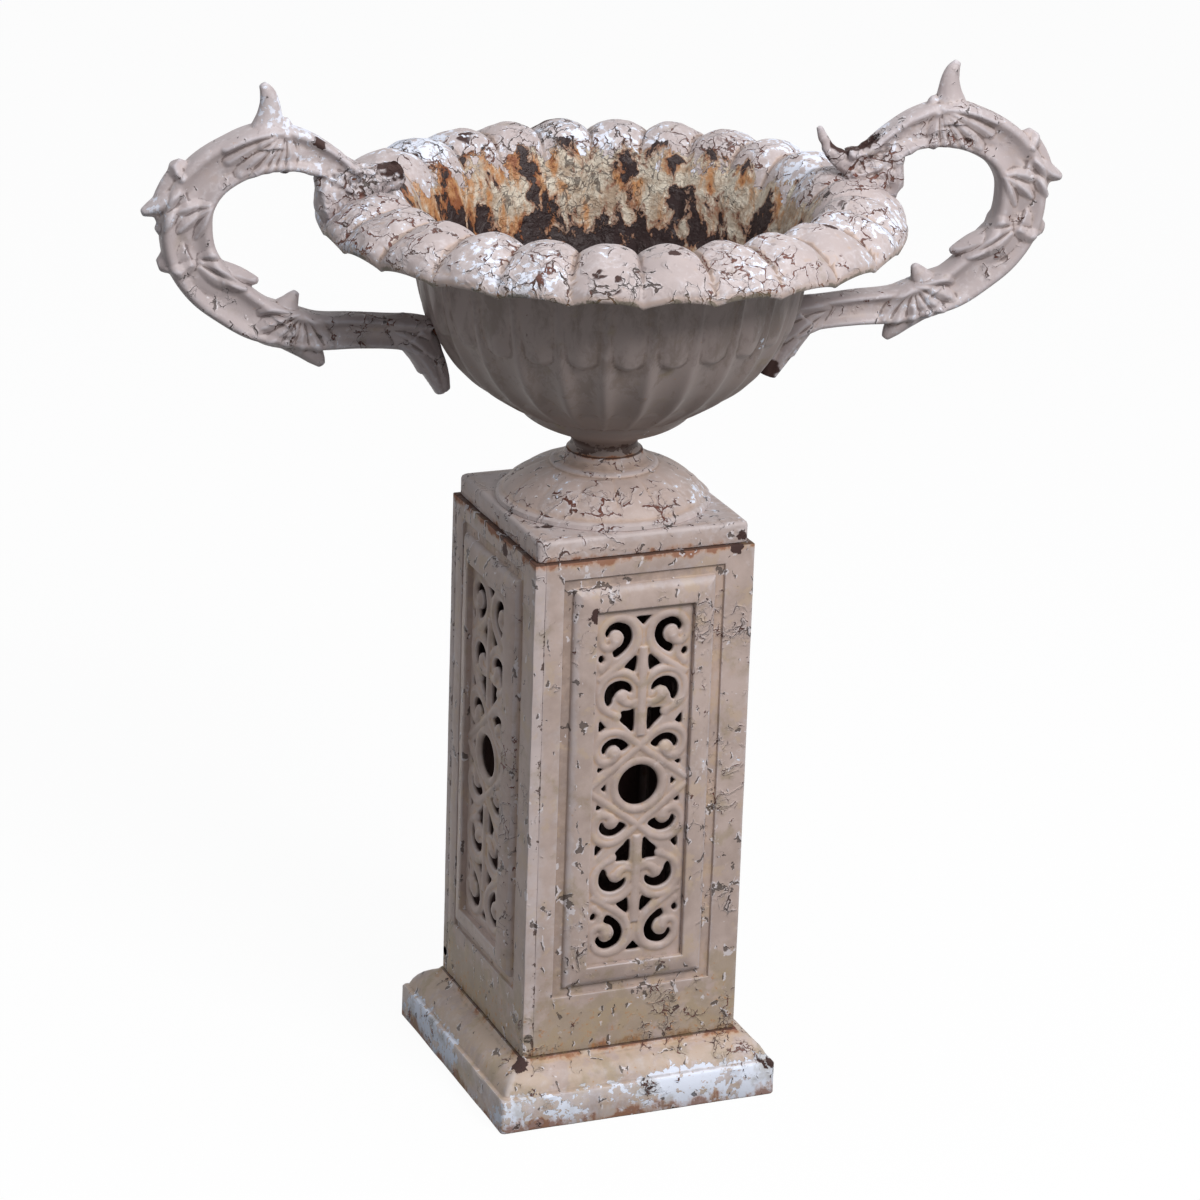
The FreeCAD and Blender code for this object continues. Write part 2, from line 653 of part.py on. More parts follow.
def lobe_bulge(share):
    """Height of the lobe's round back, 0 in the crease and 1 on its ridge."""
    return math.sin(math.pi * share)


def wavy_ring(radius, height, inward, rise):
    """Closed wire round the bowl's axis that waves with the lobes."""
    points = []
    pitch = 360 / size("lobe_count")
    for lobe in range(int(size("lobe_count"))):
        for share in LOBE_SHARES:
            angle = math.radians(size("lobe_offset") + pitch * (lobe + share))
            bulge = lobe_bulge(share)
            reach = radius - inward * bulge
            lift = height + rise * bulge
            points.append(Vector(reach * math.cos(angle), reach * math.sin(angle), lift))
    return Part.makePolygon(points + points[:1])


def bowl_rings():
    """Radius, height, inward wave and upward wave of each ring, from the outer bottom over the rim."""
    joint = number(STEM_TOP)
    radius = size("bowl_radius")
    body_height = size("bowl_body_height")
    wall = size("bowl_wall")
    thickness = size("rim_thickness")
    flute = size("flute_depth")
    lobe = size("lobe_height")
    wave = size("edge_wave")
    crest_z = joint + size("rim_height")
    crest_r = size("rim_crest_radius")
    edge_r = size("rim_radius")
    edge_z = crest_z - size("rim_edge_drop")
    middle_r = (crest_r + edge_r) / 2
    middle_z = (crest_z + edge_z) / 2 + thickness / 2
    throat_z = crest_z - size("rim_throat_drop")
    throat_r = radius - wall / 2

    body = [(radius * r, joint + body_height * z) for r, z in BODY_OUTLINE_SHARES]
    outer = [(body[0][0], body[0][1], 0, 0)]
    outer += [(r, z, flute, 0) for r, z in body[1:]]
    under = [
        (throat_r + wall, throat_z, flute, 0),
        (crest_r - thickness / 2, crest_z - thickness, 0, lobe / 2),
        (middle_r - thickness / 2, middle_z - thickness, 0, wave),
        (edge_r - thickness / 2, edge_z - thickness, 0, wave),
    ]
    over = [
        (edge_r, edge_z, 0, wave),
        (middle_r, middle_z, 0, lobe),
        (crest_r, crest_z, 0, lobe),
        ((crest_r + throat_r) / 2, crest_z - thickness, 0, lobe),
        (throat_r, throat_z, flute, 0),
    ]
    inner = [(r - wall, z, flute, 0) for r, z in body[:0:-1]]
    last_r = body[0][0] - wall - flute
    inner.append((last_r, body[0][1] + wall, 0, 0))
    return outer, under, over, inner


def revolve_outline(points):
    """Solid turned about the Z axis from a closed outline of radius and height pairs."""
    corners = [Vector(r, 0, z) for r, z in points]
    face = Part.Face(Part.makePolygon(corners + corners[:1]))
    return face.revolve(Vector(0, 0, 0), Vector(0, 0, 1), 360)


def bowl_envelope():
    """Smooth solid that just holds the bowl's outside, a clearance larger all round."""
    gap = size("handle_clearance")
    outer, under, over, _ = bowl_rings()
    points = [(0, outer[0][1] - gap)]
    points += [(r + gap, z) for r, z, _, _ in outer]
    points += [(r + gap, z - gap) for r, z, _, _ in under]
    points += [(r + gap, z + rise + gap) for r, z, _, rise in over[:3]]
    points.append((0, over[2][1] + over[2][3] + gap))
    return revolve_outline(points)


def rim_underside(radius):
    """Height of the rim's underside at a radius, measured in the crease between two lobes."""
    _, under, _, _ = bowl_rings()
    for (r_in, z_in, _, _), (r_out, z_out, _, _) in zip(under, under[1:]):
        if r_in <= radius <= r_out:
            return z_in + (z_out - z_in) * (radius - r_in) / (r_out - r_in)
    return min(z for _, z, _, _ in under)


# Distance of the upper handle bolt from the rim's edge, as a share of the rim's flare beyond its crest
HANDLE_BOLT_SHARE = 0.45


def handle_root_spot():
    """Radius of the upper handle bolt, and the heights of the root's pocket and of the nut."""
    _, _, over, _ = bowl_rings()
    flare = size("rim_radius") - size("rim_crest_radius")
    radius = size("rim_radius") - HANDLE_BOLT_SHARE * flare
    pocket = over[1][1] + over[1][3] + size("handle_boss_length")
    boss = size("handle_boss_radius")
    seat = min(rim_underside(radius - boss), rim_underside(radius + boss))
    return radius, pocket, seat


def handle_foot_spot():
    """Height of the lower handle bolt, the face of its boss inside the bowl and the wall's outer radius."""
    height = number(STEM_TOP) + size("handle_foot_height")
    outer, _, _, _ = bowl_rings()
    for (r_low, z_low, _, _), (r_high, z_high, _, _) in zip(outer, outer[1:]):
        if z_low <= height <= z_high:
            wall_radius = r_low + (r_high - r_low) * (height - z_low) / (z_high - z_low)
    face = wall_radius - size("bowl_wall") - size("handle_boss_length")
    return height, face, wall_radius


# Depth of the handle bolt's boss below the rim's upper face, as a share of the rim's thickness
RIM_CORE_SHARE = 0.25


def build_bowl():
    """Fluted body, rolled lobed rim, dished bottom and neck, cast in one."""
    outer, under, over, inner = bowl_rings()
    wires = [wavy_ring(*ring) for ring in outer + under + over + inner]
    shell = Part.makeLoft(wires, True, True)

    joint = number(STEM_TOP)
    dish_height = DISH_HEIGHT_SHARE * size("bowl_body_height")
    dish = [(r * size("dish_radius"), joint + z * dish_height) for r, z in DISH_OUTLINE_SHARES]
    bottom = revolve_outline([(0, joint)] + dish + [(0, dish[-1][1])])

    # Dished inside of the bottom, down to the bolt's seat.
    wall = size("bowl_wall")
    seat_z = bolt_seat_height()
    well = [(0, seat_z), (size("washer_width") / 2 + wall / 4, seat_z)]
    well += [(inner[-1][0] - wall / 2, inner[-1][1] + wall / 4), (0, inner[-1][1] + wall / 4)]
    bore_radius = (size("stem_bolt_diameter") + size("hole_clearance")) / 2
    bore = Part.makeCylinder(bore_radius, seat_z - joint, Vector(0, 0, joint))

    # Bosses where the handle bolts pass, with their holes.
    bosses = []
    holes = []
    hole_radius = (size("handle_bolt_diameter") + size("hole_clearance")) / 2
    root_r, pocket_z, nut_z = handle_root_spot()
    foot_z, face_r, wall_r = handle_foot_spot()
    boss_r = size("handle_boss_radius")
    rim_core = [(r, z - size("rim_thickness") * RIM_CORE_SHARE) for r, z, _, _ in over[:3]]
    rim_core_top = rim_core[-1][1]
    rim_disc = revolve_outline([(0, nut_z), (size("rim_radius"), nut_z)] + rim_core + [(0, rim_core_top)])
    rim_boss = Part.makeCylinder(boss_r, rim_core_top - nut_z, Vector(root_r, 0, nut_z)).common(rim_disc)
    wall_boss = Part.makeCylinder(boss_r, size("handle_boss_length"), Vector(face_r, 0, foot_z), Vector(1, 0, 0))
    rim_hole = Part.makeCylinder(hole_radius, pocket_z - nut_z, Vector(root_r, 0, nut_z))
    wall_hole = Part.makeCylinder(hole_radius, wall_r - face_r + wall, Vector(face_r, 0, foot_z), Vector(1, 0, 0))
    for half_turn in (0, 180):
        rotation = Rotation(Vector(0, 0, 1), half_turn)
        for shape, group in ((rim_boss, bosses), (wall_boss, bosses), (rim_hole, holes), (wall_hole, holes)):
            copy = shape.copy()
            copy.Placement = Placement(Vector(), rotation).multiply(copy.Placement)
            group.append(copy)
    bowl = shell.multiFuse([bottom] + bosses).cut([revolve_outline(well), bore] + holes)
    shape_node("bowl", bowl.removeSplitter(), "Size.bowl_turn")


def bolt_seat_height():
    """Height of the flat in the bowl's bottom on which the stem bolt's washer lies."""
    return number(STEM_TOP) + size("bowl_wall") * SEAT_SHARE


# Height of the bolt's seat above the joint, as a share of the wall
SEAT_SHARE = 2.4


# Handles

# Middle line of the scroll from its root on the rim to its foot on the bowl: shares of the reach beyond
# the rim, of the height above the foot, and of the thickness in the handle's plane
HANDLE_PATH_SHARES = (
    (-0.26, 0.80, 0.60), (-0.12, 0.85, 0.60), (-0.01, 0.92, 0.65), (0.14, 0.97, 0.85), (0.30, 0.99, 1.02),
    (0.47, 0.95, 0.95), (0.63, 0.87, 0.95), (0.735, 0.74, 1.00), (0.755, 0.60, 1.04), (0.725, 0.45, 1.04),
    (0.635, 0.32, 1.00), (0.51, 0.21, 0.95), (0.36, 0.115, 0.90), (0.18, 0.06, 0.85), (0.03, 0.025, 0.78),
    (-0.18, 0.01, 0.70), (-0.39, 0.00, 0.65), (-0.53, -0.01, 0.70), (-0.72, -0.04, 0.75),
)
# Leaf tips and thorns, each from its base to its point, in the same shares
LEAF_SHARES = (
    ((0.30, 1.04, 0.78), (0.275, 1.18, 0.50), (0.295, 1.27, 0.32), (0.345, 1.32, 0.08)),
    ((0.75, 0.69, 1.00), (0.87, 0.69, 0.60), (0.95, 0.68, 0.34), (1.00, 0.67, 0.10)),
    ((0.72, 0.44, 0.80), (0.83, 0.40, 0.46), (0.905, 0.37, 0.12)),
    ((0.57, 0.32, 0.70), (0.45, 0.295, 0.42), (0.35, 0.30, 0.10)),
    ((0.235, 0.09, 0.70), (0.17, 0.18, 0.42), (0.145, 0.24, 0.12)),
    ((0.11, 0.01, 0.70), (0.04, -0.08, 0.42), (-0.005, -0.165, 0.12)),
    ((-0.49, -0.02, 0.80), (-0.58, -0.14, 0.85), (-0.64, -0.27, 0.60), (-0.72, -0.37, 0.20)),
    ((-0.16, 0.83, 0.70), (-0.30, 0.84, 0.50), (-0.39, 0.91, 0.38), (-0.455, 1.005, 0.10)),
    ((0.015, 0.90, 0.60), (0.015, 0.76, 0.65), (0.00, 0.62, 0.40)),
)
# Half outline of the channelled section, shares of thickness and width; the other half mirrors it
CHANNEL_SHARES = (
    (0.50, 0.30), (0.42, 0.50), (0.27, 0.50), (0.16, 0.30), (-0.16, 0.30), (-0.27, 0.50), (-0.42, 0.50),
    (-0.50, 0.30),
)
LEAF_SECTION_SHARES = ((0.50, 0.10), (0.25, 0.50), (-0.25, 0.50), (-0.50, 0.10))


def handle_section(spot, along, thickness, width, half_outline):
    """Closed outline square to the handle's path at a spot."""
    across = Vector(along.z, 0, -along.x)
    side = Vector(0, 1, 0)
    front = [spot + across * (t * thickness) - side * (w * width) for t, w in half_outline]
    back = [spot + across * (t * thickness) + side * (w * width) for t, w in reversed(half_outline)]
    outline = front + back
    return Part.makePolygon(outline + outline[:1])


def handle_sweep(shares, half_outline, taper):
    """Solid through sections along a path of shares."""
    reach = size("handle_reach")
    height = size("handle_height")
    start_r = size("rim_radius")
    start_z = number(STEM_TOP) + size("handle_foot_height")
    spots = [Vector(start_r + x * reach, 0, start_z + z * height) for x, z, _ in shares]
    wires = []
    for index, spot in enumerate(spots):
        before = spots[max(index - 1, 0)]
        after = spots[min(index + 1, len(spots) - 1)]
        along = after.sub(before).normalize()
        thickness = shares[index][2] * size("handle_thickness")
        width = size("handle_width") * (shares[index][2] if taper else 1)
        wires.append(handle_section(spot, along, thickness, width, half_outline))
    return Part.makeLoft(wires, True, True)


def build_handles():
    """Scroll, leaf tips and seats of one handle, trimmed to the bowl and used on both sides."""
    scroll = handle_sweep(HANDLE_PATH_SHARES, CHANNEL_SHARES, False)
    leaves = [handle_sweep(leaf, LEAF_SECTION_SHARES, True) for leaf in LEAF_SHARES]
    blank = scroll.multiFuse(leaves)

    # Pocket and hole for the upper bolt, and the tapped hole for the lower one.
    diameter = size("handle_bolt_diameter")
    root_r, pocket_z, nut_z = handle_root_spot()
    foot_z, face_r, wall_r = handle_foot_spot()
    pocket = Part.makeCylinder(HANDLE_POCKET_SHARE * diameter, size("handle_height"), Vector(root_r, 0, pocket_z))
    hole_radius = (diameter + size("hole_clearance")) / 2
    hole = Part.makeCylinder(hole_radius, pocket_z - nut_z, Vector(root_r, 0, nut_z))
    tap_length = wall_r - face_r + size("handle_screw_bite")
    tap = Part.makeCylinder(diameter / 2, tap_length, Vector(face_r, 0, foot_z), Vector(1, 0, 0))
    handle = blank.cut([bowl_envelope(), pocket, hole, tap])
    handle = max(handle.Solids, key=lambda solid: solid.Volume)
    shape_node("right_handle", handle, "Size.bowl_turn")
    shape_node("left_handle", handle, "Size.bowl_turn + 180")

    # Their bolts: down through root and rim, and outwards through the bowl's wall.
    root_length = pocket_z - nut_z + (NUT_HEIGHT_SHARE + END_SHARE) * diameter
    outward = Rotation(Vector(0, 0, 1), Vector(-1, 0, 0))
    foot_length = wall_r - face_r + size("handle_screw_bite") * END_ROOM_SHARE
    pieces = (
        ("upper_handle_bolts", placed(bolt(diameter, root_length), Vector(root_r, 0, pocket_z))),
        ("upper_handle_nuts", placed(nut(diameter), Vector(root_r, 0, nut_z))),
        ("lower_handle_bolts", placed(bolt(diameter, foot_length), Vector(face_r, 0, foot_z), outward)),
    )
    for label, shape in pieces:
        other = shape.copy()
        other.Placement = Placement(Vector(), Rotation(Vector(0, 0, 1), 180)).multiply(other.Placement)
        shape_node(label, Part.makeCompound([shape, other]), "Size.bowl_turn")


# Radius of the bolt's pocket as a share of the bolt's diameter, and the used share of the tapped hole
HANDLE_POCKET_SHARE = 1.2
END_ROOM_SHARE = 0.8


# Bolt between bowl and foot

def build_stem_fasteners():
    diameter = size("stem_bolt_diameter")
    thickness = size("washer_thickness")
    seat = bolt_seat_height()
    hollow_height = size("foot_plate_thickness") + size("foot_stem_height")
    ceiling = number(FOOT_LOW) + HOLLOW_OUTLINE_SHARES[-1][1] * hollow_height
    nut_top = ceiling - thickness
    ring = washer(diameter, size("washer_width"), thickness)
    rings = [placed(ring, Vector(0, 0, seat + thickness)), placed(ring, Vector(0, 0, ceiling))]
    shape_node("stem_washers", Part.makeCompound(rings), "Size.bowl_turn")
    length = seat + thickness - nut_top + (NUT_HEIGHT_SHARE + END_SHARE) * diameter
    shape_node("stem_bolt", placed(bolt(diameter, length), Vector(0, 0, seat + thickness)), "Size.bowl_turn")
    shape_node("stem_nut", placed(nut(diameter), Vector(0, 0, nut_top)), "Size.bowl_turn")


NODES = (
    "pedestal_base", "front_panel", "right_panel", "back_panel", "left_panel", "corner_screws", "corner_pins",
    "base_bolts", "base_washers", "base_nuts", "urn_foot", "bowl", "left_handle", "right_handle",
    "upper_handle_bolts", "upper_handle_nuts", "lower_handle_bolts", "stem_bolt", "stem_washers", "stem_nut",
)


def check_document():
    """Stops before anything is written if an object failed or a shape is empty or broken."""
    for item in doc.Objects:
        if "Invalid" in item.State or "Error" in item.State:
            raise RuntimeError(f"{item.Label} did not compute: {item.State}")
    for label in NODES:
        shape = doc.getObjectsByLabel(label)[0].Shape
        if shape.isNull() or not shape.isValid() or not shape.Solids:
            raise RuntimeError(f"{label} has no valid solid")


build_base()
build_panels()
build_pedestal_fasteners()
build_foot()
build_bowl()
build_handles()
build_stem_fasteners()
doc.recompute()
check_document()

os.makedirs("parts", exist_ok=True)
for label in NODES:
    node = doc.getObjectsByLabel(label)[0]
    node.Shape.exportStep(f"parts/{label}.step")
    box = node.Shape.BoundBox
    print(label, len(node.Shape.Solids), "solids", round(box.XLength, 1), round(box.YLength, 1),
          round(box.ZMin, 1), round(box.ZMax, 1))
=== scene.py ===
# %% [markdown]
# A cast-iron garden urn on a square pedestal, dressed for its portrait.
#
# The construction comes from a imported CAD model, which is loaded as a fixed frame. This lesson gives every
# casting its visible form and its old, cracked, rusting paint. All lengths are in metres, +Z is up, and the
# front of the pedestal faces -Y. Most castings are rebuilt here with finer relief than the CAD solids have.

# %% Load the frame
import math

import bmesh
import bpy
from mathutils import Matrix, Vector, noise


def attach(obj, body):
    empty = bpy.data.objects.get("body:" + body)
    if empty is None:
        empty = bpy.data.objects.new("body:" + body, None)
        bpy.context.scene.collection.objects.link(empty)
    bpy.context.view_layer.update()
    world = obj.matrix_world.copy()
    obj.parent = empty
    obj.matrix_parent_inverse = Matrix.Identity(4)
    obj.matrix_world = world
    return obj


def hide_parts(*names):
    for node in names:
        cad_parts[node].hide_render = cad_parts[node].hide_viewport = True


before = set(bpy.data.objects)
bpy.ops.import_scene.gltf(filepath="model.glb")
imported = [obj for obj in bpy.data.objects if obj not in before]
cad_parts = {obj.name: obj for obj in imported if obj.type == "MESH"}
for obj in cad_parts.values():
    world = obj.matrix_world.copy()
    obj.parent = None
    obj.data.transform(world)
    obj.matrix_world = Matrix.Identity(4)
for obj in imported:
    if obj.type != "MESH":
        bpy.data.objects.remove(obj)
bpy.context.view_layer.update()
MM = 0.001

# %% [markdown]
# The camera stands where the photographer stood: a little above the rim, turned to the left of the front
# face, with a long lens. The numbers were solved from the edges of the pedestal and the round rim, so the
# render can be laid over the photo.

# %% Camera
SENSOR = 36.0  # width of the sensor in millimetres
FOCAL_LENGTH, PHOTO_WIDTH = 4654, 1200  # in pixels of the photo
scene = bpy.context.scene


def link(thing):
    """Puts an object into the scene."""
    scene.collection.objects.link(thing)
    return thing


camera_data = bpy.data.cameras.new("camera")
camera_data.sensor_width = SENSOR
camera_data.lens = SENSOR * FOCAL_LENGTH / PHOTO_WIDTH
camera = link(bpy.data.objects.new("camera", camera_data))
camera.location = (-1.3836, -3.3223, 1.7309)
camera.rotation_euler = [math.radians(a) for a in (69.864, -1.781, -21.964)]
scene.camera = camera
scene.view_settings.view_transform = "Standard"

# %% [markdown]
# Materials are trees of nodes, and three helpers build them. The last one is for the floor and the world,
# which look different to the viewer than to the urn: what is seen of them is almost white, and the light
# that they throw on the urn is soft and darker.

# %% Helpers for nodes
def add_node(tree, kind, inputs=None, **settings):
    """Adds a node, sets its properties, and fills its inputs with values or links them to sockets."""
    made = tree.nodes.new(kind)
    for name, value in settings.items():
        setattr(made, name, value)
    for key, value in (inputs or {}).items():
        value = getattr(value, "socket", value)
        if isinstance(value, bpy.types.NodeSocket):
            tree.links.new(value, made.inputs[key])
        else:
            made.inputs[key].default_value = value
    return made


def new_material(name):
    """Material, its node tree and its shader."""
    material = bpy.data.materials.new(name)
    material.use_nodes = True
    return material, material.node_tree, material.node_tree.nodes["Principled BSDF"]


def for_viewer(tree, own_light, seen, output):
    """Links one shader for the light's own rays and another for rays that reach the viewer straight on, in
    gloss or through glass."""
    path = add_node(tree, "ShaderNodeLightPath").outputs
    share = path["Is Camera Ray"]
    for ray in ("Is Glossy Ray", "Is Transmission Ray"):
        both = {0: share, 1: path[ray]}
        share = add_node(tree, "ShaderNodeMath", both, operation="ADD", use_clamp=True).outputs[0]
    mixed = add_node(tree, "ShaderNodeMixShader", {0: share, 1: own_light, 2: seen})
    tree.links.new(mixed.outputs[0], tree.nodes[output].inputs[0])


# %% [markdown]
# The stage is a plain pale floor under a soft sky. A dome of light gives the gentle shading of an overcast
# day, one large lamp from the upper right models the forms, and the floor reflects only a little, so that
# the underside of the bowl stays dark as it does out of doors. For the camera alone the floor and the world
# are almost white.

# %% Floor and world
FLOOR_REACH = 30
WHITE = (1, 1, 1, 1)
PAPER_GLOW = 0.95  # share of the seen floor that glows evenly instead of taking shadows
SKY_STRENGTH = 0.41

floor_mesh = bpy.data.meshes.new("floor")
floor_corners = [(FLOOR_REACH * x, FLOOR_REACH * y, 0) for x, y in ((-1, -1), (1, -1), (1, 1), (-1, 1))]
floor_mesh.from_pydata(floor_corners, [], [(0, 1, 2, 3)])
floor = link(bpy.data.objects.new("floor", floor_mesh))
floor_material, floor_tree, floor_shader = new_material("pale floor")
floor_looks = {"Base Color": (0.10, 0.098, 0.095, 1), "Roughness": 0.9, "Specular IOR Level": 0.0}
for label, value in floor_looks.items():
    floor_shader.inputs[label].default_value = value
paper = add_node(floor_tree, "ShaderNodeBsdfDiffuse", {"Color": (0.9, 0.9, 0.9, 1)}).outputs[0]
glow = add_node(floor_tree, "ShaderNodeEmission", {"Color": WHITE, "Strength": 1.0}).outputs[0]
paper = add_node(floor_tree, "ShaderNodeMixShader", {0: PAPER_GLOW, 1: paper, 2: glow}).outputs[0]
for_viewer(floor_tree, floor_shader.outputs[0], paper, "Material Output")
floor_mesh.materials.append(floor_material)

world = bpy.data.worlds.new("sky")
scene.world = world
world.use_nodes = True
sky = world.node_tree.nodes["Background"]
sky.inputs["Color"].default_value = (0.92, 0.95, 1.0, 1)
sky.inputs["Strength"].default_value = SKY_STRENGTH
bright = add_node(world.node_tree, "ShaderNodeBackground", {"Color": WHITE, "Strength": 1.0}).outputs[0]
for_viewer(world.node_tree, sky.outputs[0], bright, "World Output")

# %% [markdown]
# Two square lamps stand in for the bright parts of the sky. The key lamp is in front on the right, the top
# lamp hangs over the urn, and both aim at the middle of the model.

# %% Lamps
LAMP_AIM = Vector((0, 0, 0.5))

for lamp_name, place, width, watts, tint in (
    ("key lamp", (0.75, -2.75, 2.9), 1.4, 114, (1.0, 0.985, 0.98)),
    ("top lamp", (0.0, -0.3, 3.2), 2.4, 21, (0.92, 0.96, 1.0)),
):
    lamp_data = bpy.data.lights.new(lamp_name, "AREA")
    lamp_data.shape = "SQUARE"
    lamp_data.size = width
    lamp_data.energy = watts
    lamp_data.color = tint
    lamp = link(bpy.data.objects.new(lamp_name, lamp_data))
    lamp.location = place
    lamp.rotation_euler = (LAMP_AIM - Vector(place)).to_track_quat("-Z", "Y").to_euler()

# %% [markdown]
# Paint that has weathered for decades is never one thing. Each effect is a node group: crazing with curled
# flakes, old white paint showing through, rust, dirt and painted shade in hollows and wear on edges. A group
# only puts out masks and heights, and every material mixes them with its own values; some of the masks
# place painted shade and painted highlights. The textures read the object's own coordinates, which are the
# frame's coordinates here, so each casting has its own pattern and carries it along when it moves. Sums are
# easiest to read as sums, so a small class lets +, - and * stand for math nodes, and | for the larger of two
# masks.

# %% Helpers for shader sums
class Field:
    """A value or colour that a shader works out at each point."""

    def __init__(self, socket):
        self.socket = socket
        self.tree = socket.id_data

    def __add__(self, other):
        return maths("ADD", self, other)

    def __sub__(self, other):
        return maths("SUBTRACT", self, other)

    def __rsub__(self, other):
        return maths("SUBTRACT", other, self)

    def __mul__(self, other):
        return maths("MULTIPLY", self, other)

    def __rtruediv__(self, other):
        return maths("DIVIDE", other, self)

    def __pow__(self, other):
        return maths("POWER", self, other)

    def __or__(self, other):
        return maths("MAXIMUM", self, other)

    def __abs__(self):
        return maths("ABSOLUTE", self)

    __radd__ = __add__
    __rmul__ = __mul__


def field_node(kind, inputs, output=0, **settings):
    """Adds a node whose inputs are fields or plain values, and returns one output as a field."""
    tree = next(value.tree for value in inputs.values() if isinstance(value, Field))
    return Field(add_node(tree, kind, inputs, **settings).outputs[output])


def maths(operation, first, second=0.0):
    return field_node("ShaderNodeMath", {0: first, 1: second}, operation=operation)


def vector_maths(operation, first, second, output=0):
    return field_node("ShaderNodeVectorMath", {0: first, 1: second}, output, operation=operation)


def soft_step(value, low, high):
    """0 below low, 1 above high, and smooth between; low may be the larger one."""
    inputs = {"Value": value, "From Min": low, "From Max": high, "To Min": 0.0, "To Max": 1.0}
    return field_node("ShaderNodeMapRange", inputs, interpolation_type="SMOOTHSTEP")


# %% [markdown]
# Most effects come from a few patterns: clouds of noise, positions pushed about by noise, and the walls
# between the plates of a Voronoi pattern. Colours are given as they look on a screen.

# %% Helpers for patterns and colours
MIDDLE = 0.5  # the middle value of a noise


def cloud(position, scale, detail=4.0, roughness=0.55, stretch=None):
    """Noise from 0 to 1; stretch squeezes the pattern along the axes."""
    if stretch:
        position = vector_maths("MULTIPLY", position, stretch)
    inputs = {"Vector": position, "Scale": scale, "Detail": detail, "Roughness": roughness}
    return field_node("ShaderNodeTexNoise", inputs)


def shifted(position, scale, distance):
    """Position moved about by noise, so that straight patterns wander."""
    drift = field_node("ShaderNodeTexNoise", {"Vector": position, "Scale": scale, "Detail": 3.0}, 1)
    centred = vector_maths("SUBTRACT", drift, (MIDDLE,) * 3)
    return vector_maths("ADD", position, vector_maths("MULTIPLY", centred, (distance,) * 3))


def plate_walls(place, size):
    """Distance in metres from the walls of a Voronoi pattern with plates of a size."""
    inputs = {"Vector": place, "Scale": 1.0 / size}
    return field_node("ShaderNodeTexVoronoi", inputs, "Distance", feature="DISTANCE_TO_EDGE") * size


def height_of(position):
    return field_node("ShaderNodeSeparateXYZ", {0: position}, 2)


def blend_colours(mask, below, above):
    factor, first, second, mixed = 0, 6, 7, 2  # the mix node's sockets for colours
    return field_node("ShaderNodeMix", {factor: mask, first: below, second: above}, mixed, data_type="RGBA")


def srgb(red, green, blue):
    """Colour as it looks on a screen, 0 to 255, turned into the linear values that a shader takes."""
    def linear(value):
        share = value / 255
        return share / 12.92 if share <= 0.04045 else ((share + 0.055) / 1.055) ** 2.4
    return (linear(red), linear(green), linear(blue), 1.0)


def make_group(name, inputs, outputs, build):
    """Shader group with a Position input, float inputs, and the float outputs that build works out."""
    tree = bpy.data.node_groups.new(name, "ShaderNodeTree")
    tree.interface.new_socket(name="Position", in_out="INPUT", socket_type="NodeSocketVector")
    for label, value in inputs.items():
        socket = tree.interface.new_socket(name=label, in_out="INPUT", socket_type="NodeSocketFloat")
        socket.default_value = value
    for label in outputs:
        tree.interface.new_socket(name=label, in_out="OUTPUT", socket_type="NodeSocketFloat")
    given = {socket.name: Field(socket) for socket in tree.nodes.new("NodeGroupInput").outputs}
    results = tree.nodes.new("NodeGroupOutput").inputs
    for label, field in zip(outputs, build(given)):
        tree.links.new(field.socket, results[label])
    print("group", name, "has", len(tree.nodes), "nodes")
    return tree


def use_group(group, position, **values):
    """Places a node group and returns its outputs as fields by name."""
    inputs = {"Position": position, **{key.replace("_", " "): value for key, value in values.items()}}
    made = add_node(position.tree, "ShaderNodeGroup", inputs, node_tree=group)
    return {socket.name: Field(socket) for socket in made.outputs}


# %% [markdown]
# Crazing: thick oil paint shrinks and splits into plates that curl up at their edges. Cell walls of a Voronoi
# pattern give the splits. Noise bends the walls, thins them and hides most of them, because real crazing
# breaks off and starts again. Some plates have dropped off and leave a chip. The lip along each split is a
# painted highlight on the curled edge.

# %% Group: crazed paint
def crazed_paint(given):
    position, size = given["Position"], given["Plate size"]
    place = shifted(shifted(shifted(position, 38.0, 0.026), 95.0, 0.010), 260.0, 0.0045)
    gap = plate_walls(place, size)
    plates = field_node("ShaderNodeTexVoronoi", {"Vector": place, "Scale": 1.0 / size}, "Color", feature="F1")
    lot = field_node("ShaderNodeSeparateColor", {0: plates})

    district = cloud(position, 13.0, 2.0, 0.5) * 0.55 + cloud(position, 75.0, 2.0, 0.5) * 0.45
    hidden = 0.66 - given["Amount"] * 0.30
    present = soft_step(district, hidden, hidden + 0.07)
    wander = 0.22 + cloud(place, 110.0, 2.0, 0.5) ** 3.0 * 5.0
    width = given["Crack width"] * present * wander
    crack = soft_step(gap, width, width * 0.35) * soft_step(width, 0.0, 0.00015)

    wanted = given["Chips"] * soft_step(cloud(position, 24.0, 2.0, 0.5), 0.45, 0.7) * present
    dropped = soft_step(wanted - lot, 0.0, 0.02)
    ragged = gap + (cloud(place, 260.0) - MIDDLE) * 0.006
    chip = dropped * soft_step(ragged, 0.0012, 0.0018)

    lift = soft_step(gap, size * 0.20, given["Crack width"] * 0.6) * present
    lip = soft_step(gap, width * 3.2, width) * present
    return crack, chip, lift, lip


CRAZED = make_group("crazed paint", {"Plate size": 0.016, "Crack width": 0.0008, "Amount": 0.5, "Chips": 0.1},
                    ("Crack", "Chip", "Lift", "Lip"), crazed_paint)

# %% [markdown]
# White patches: the taupe coat has rubbed through to older white paint on corners and lobes and near the
# ground. The patches are ragged islands with finer specks round them. One noise picks the district, a finer
# one cuts the ragged outline.

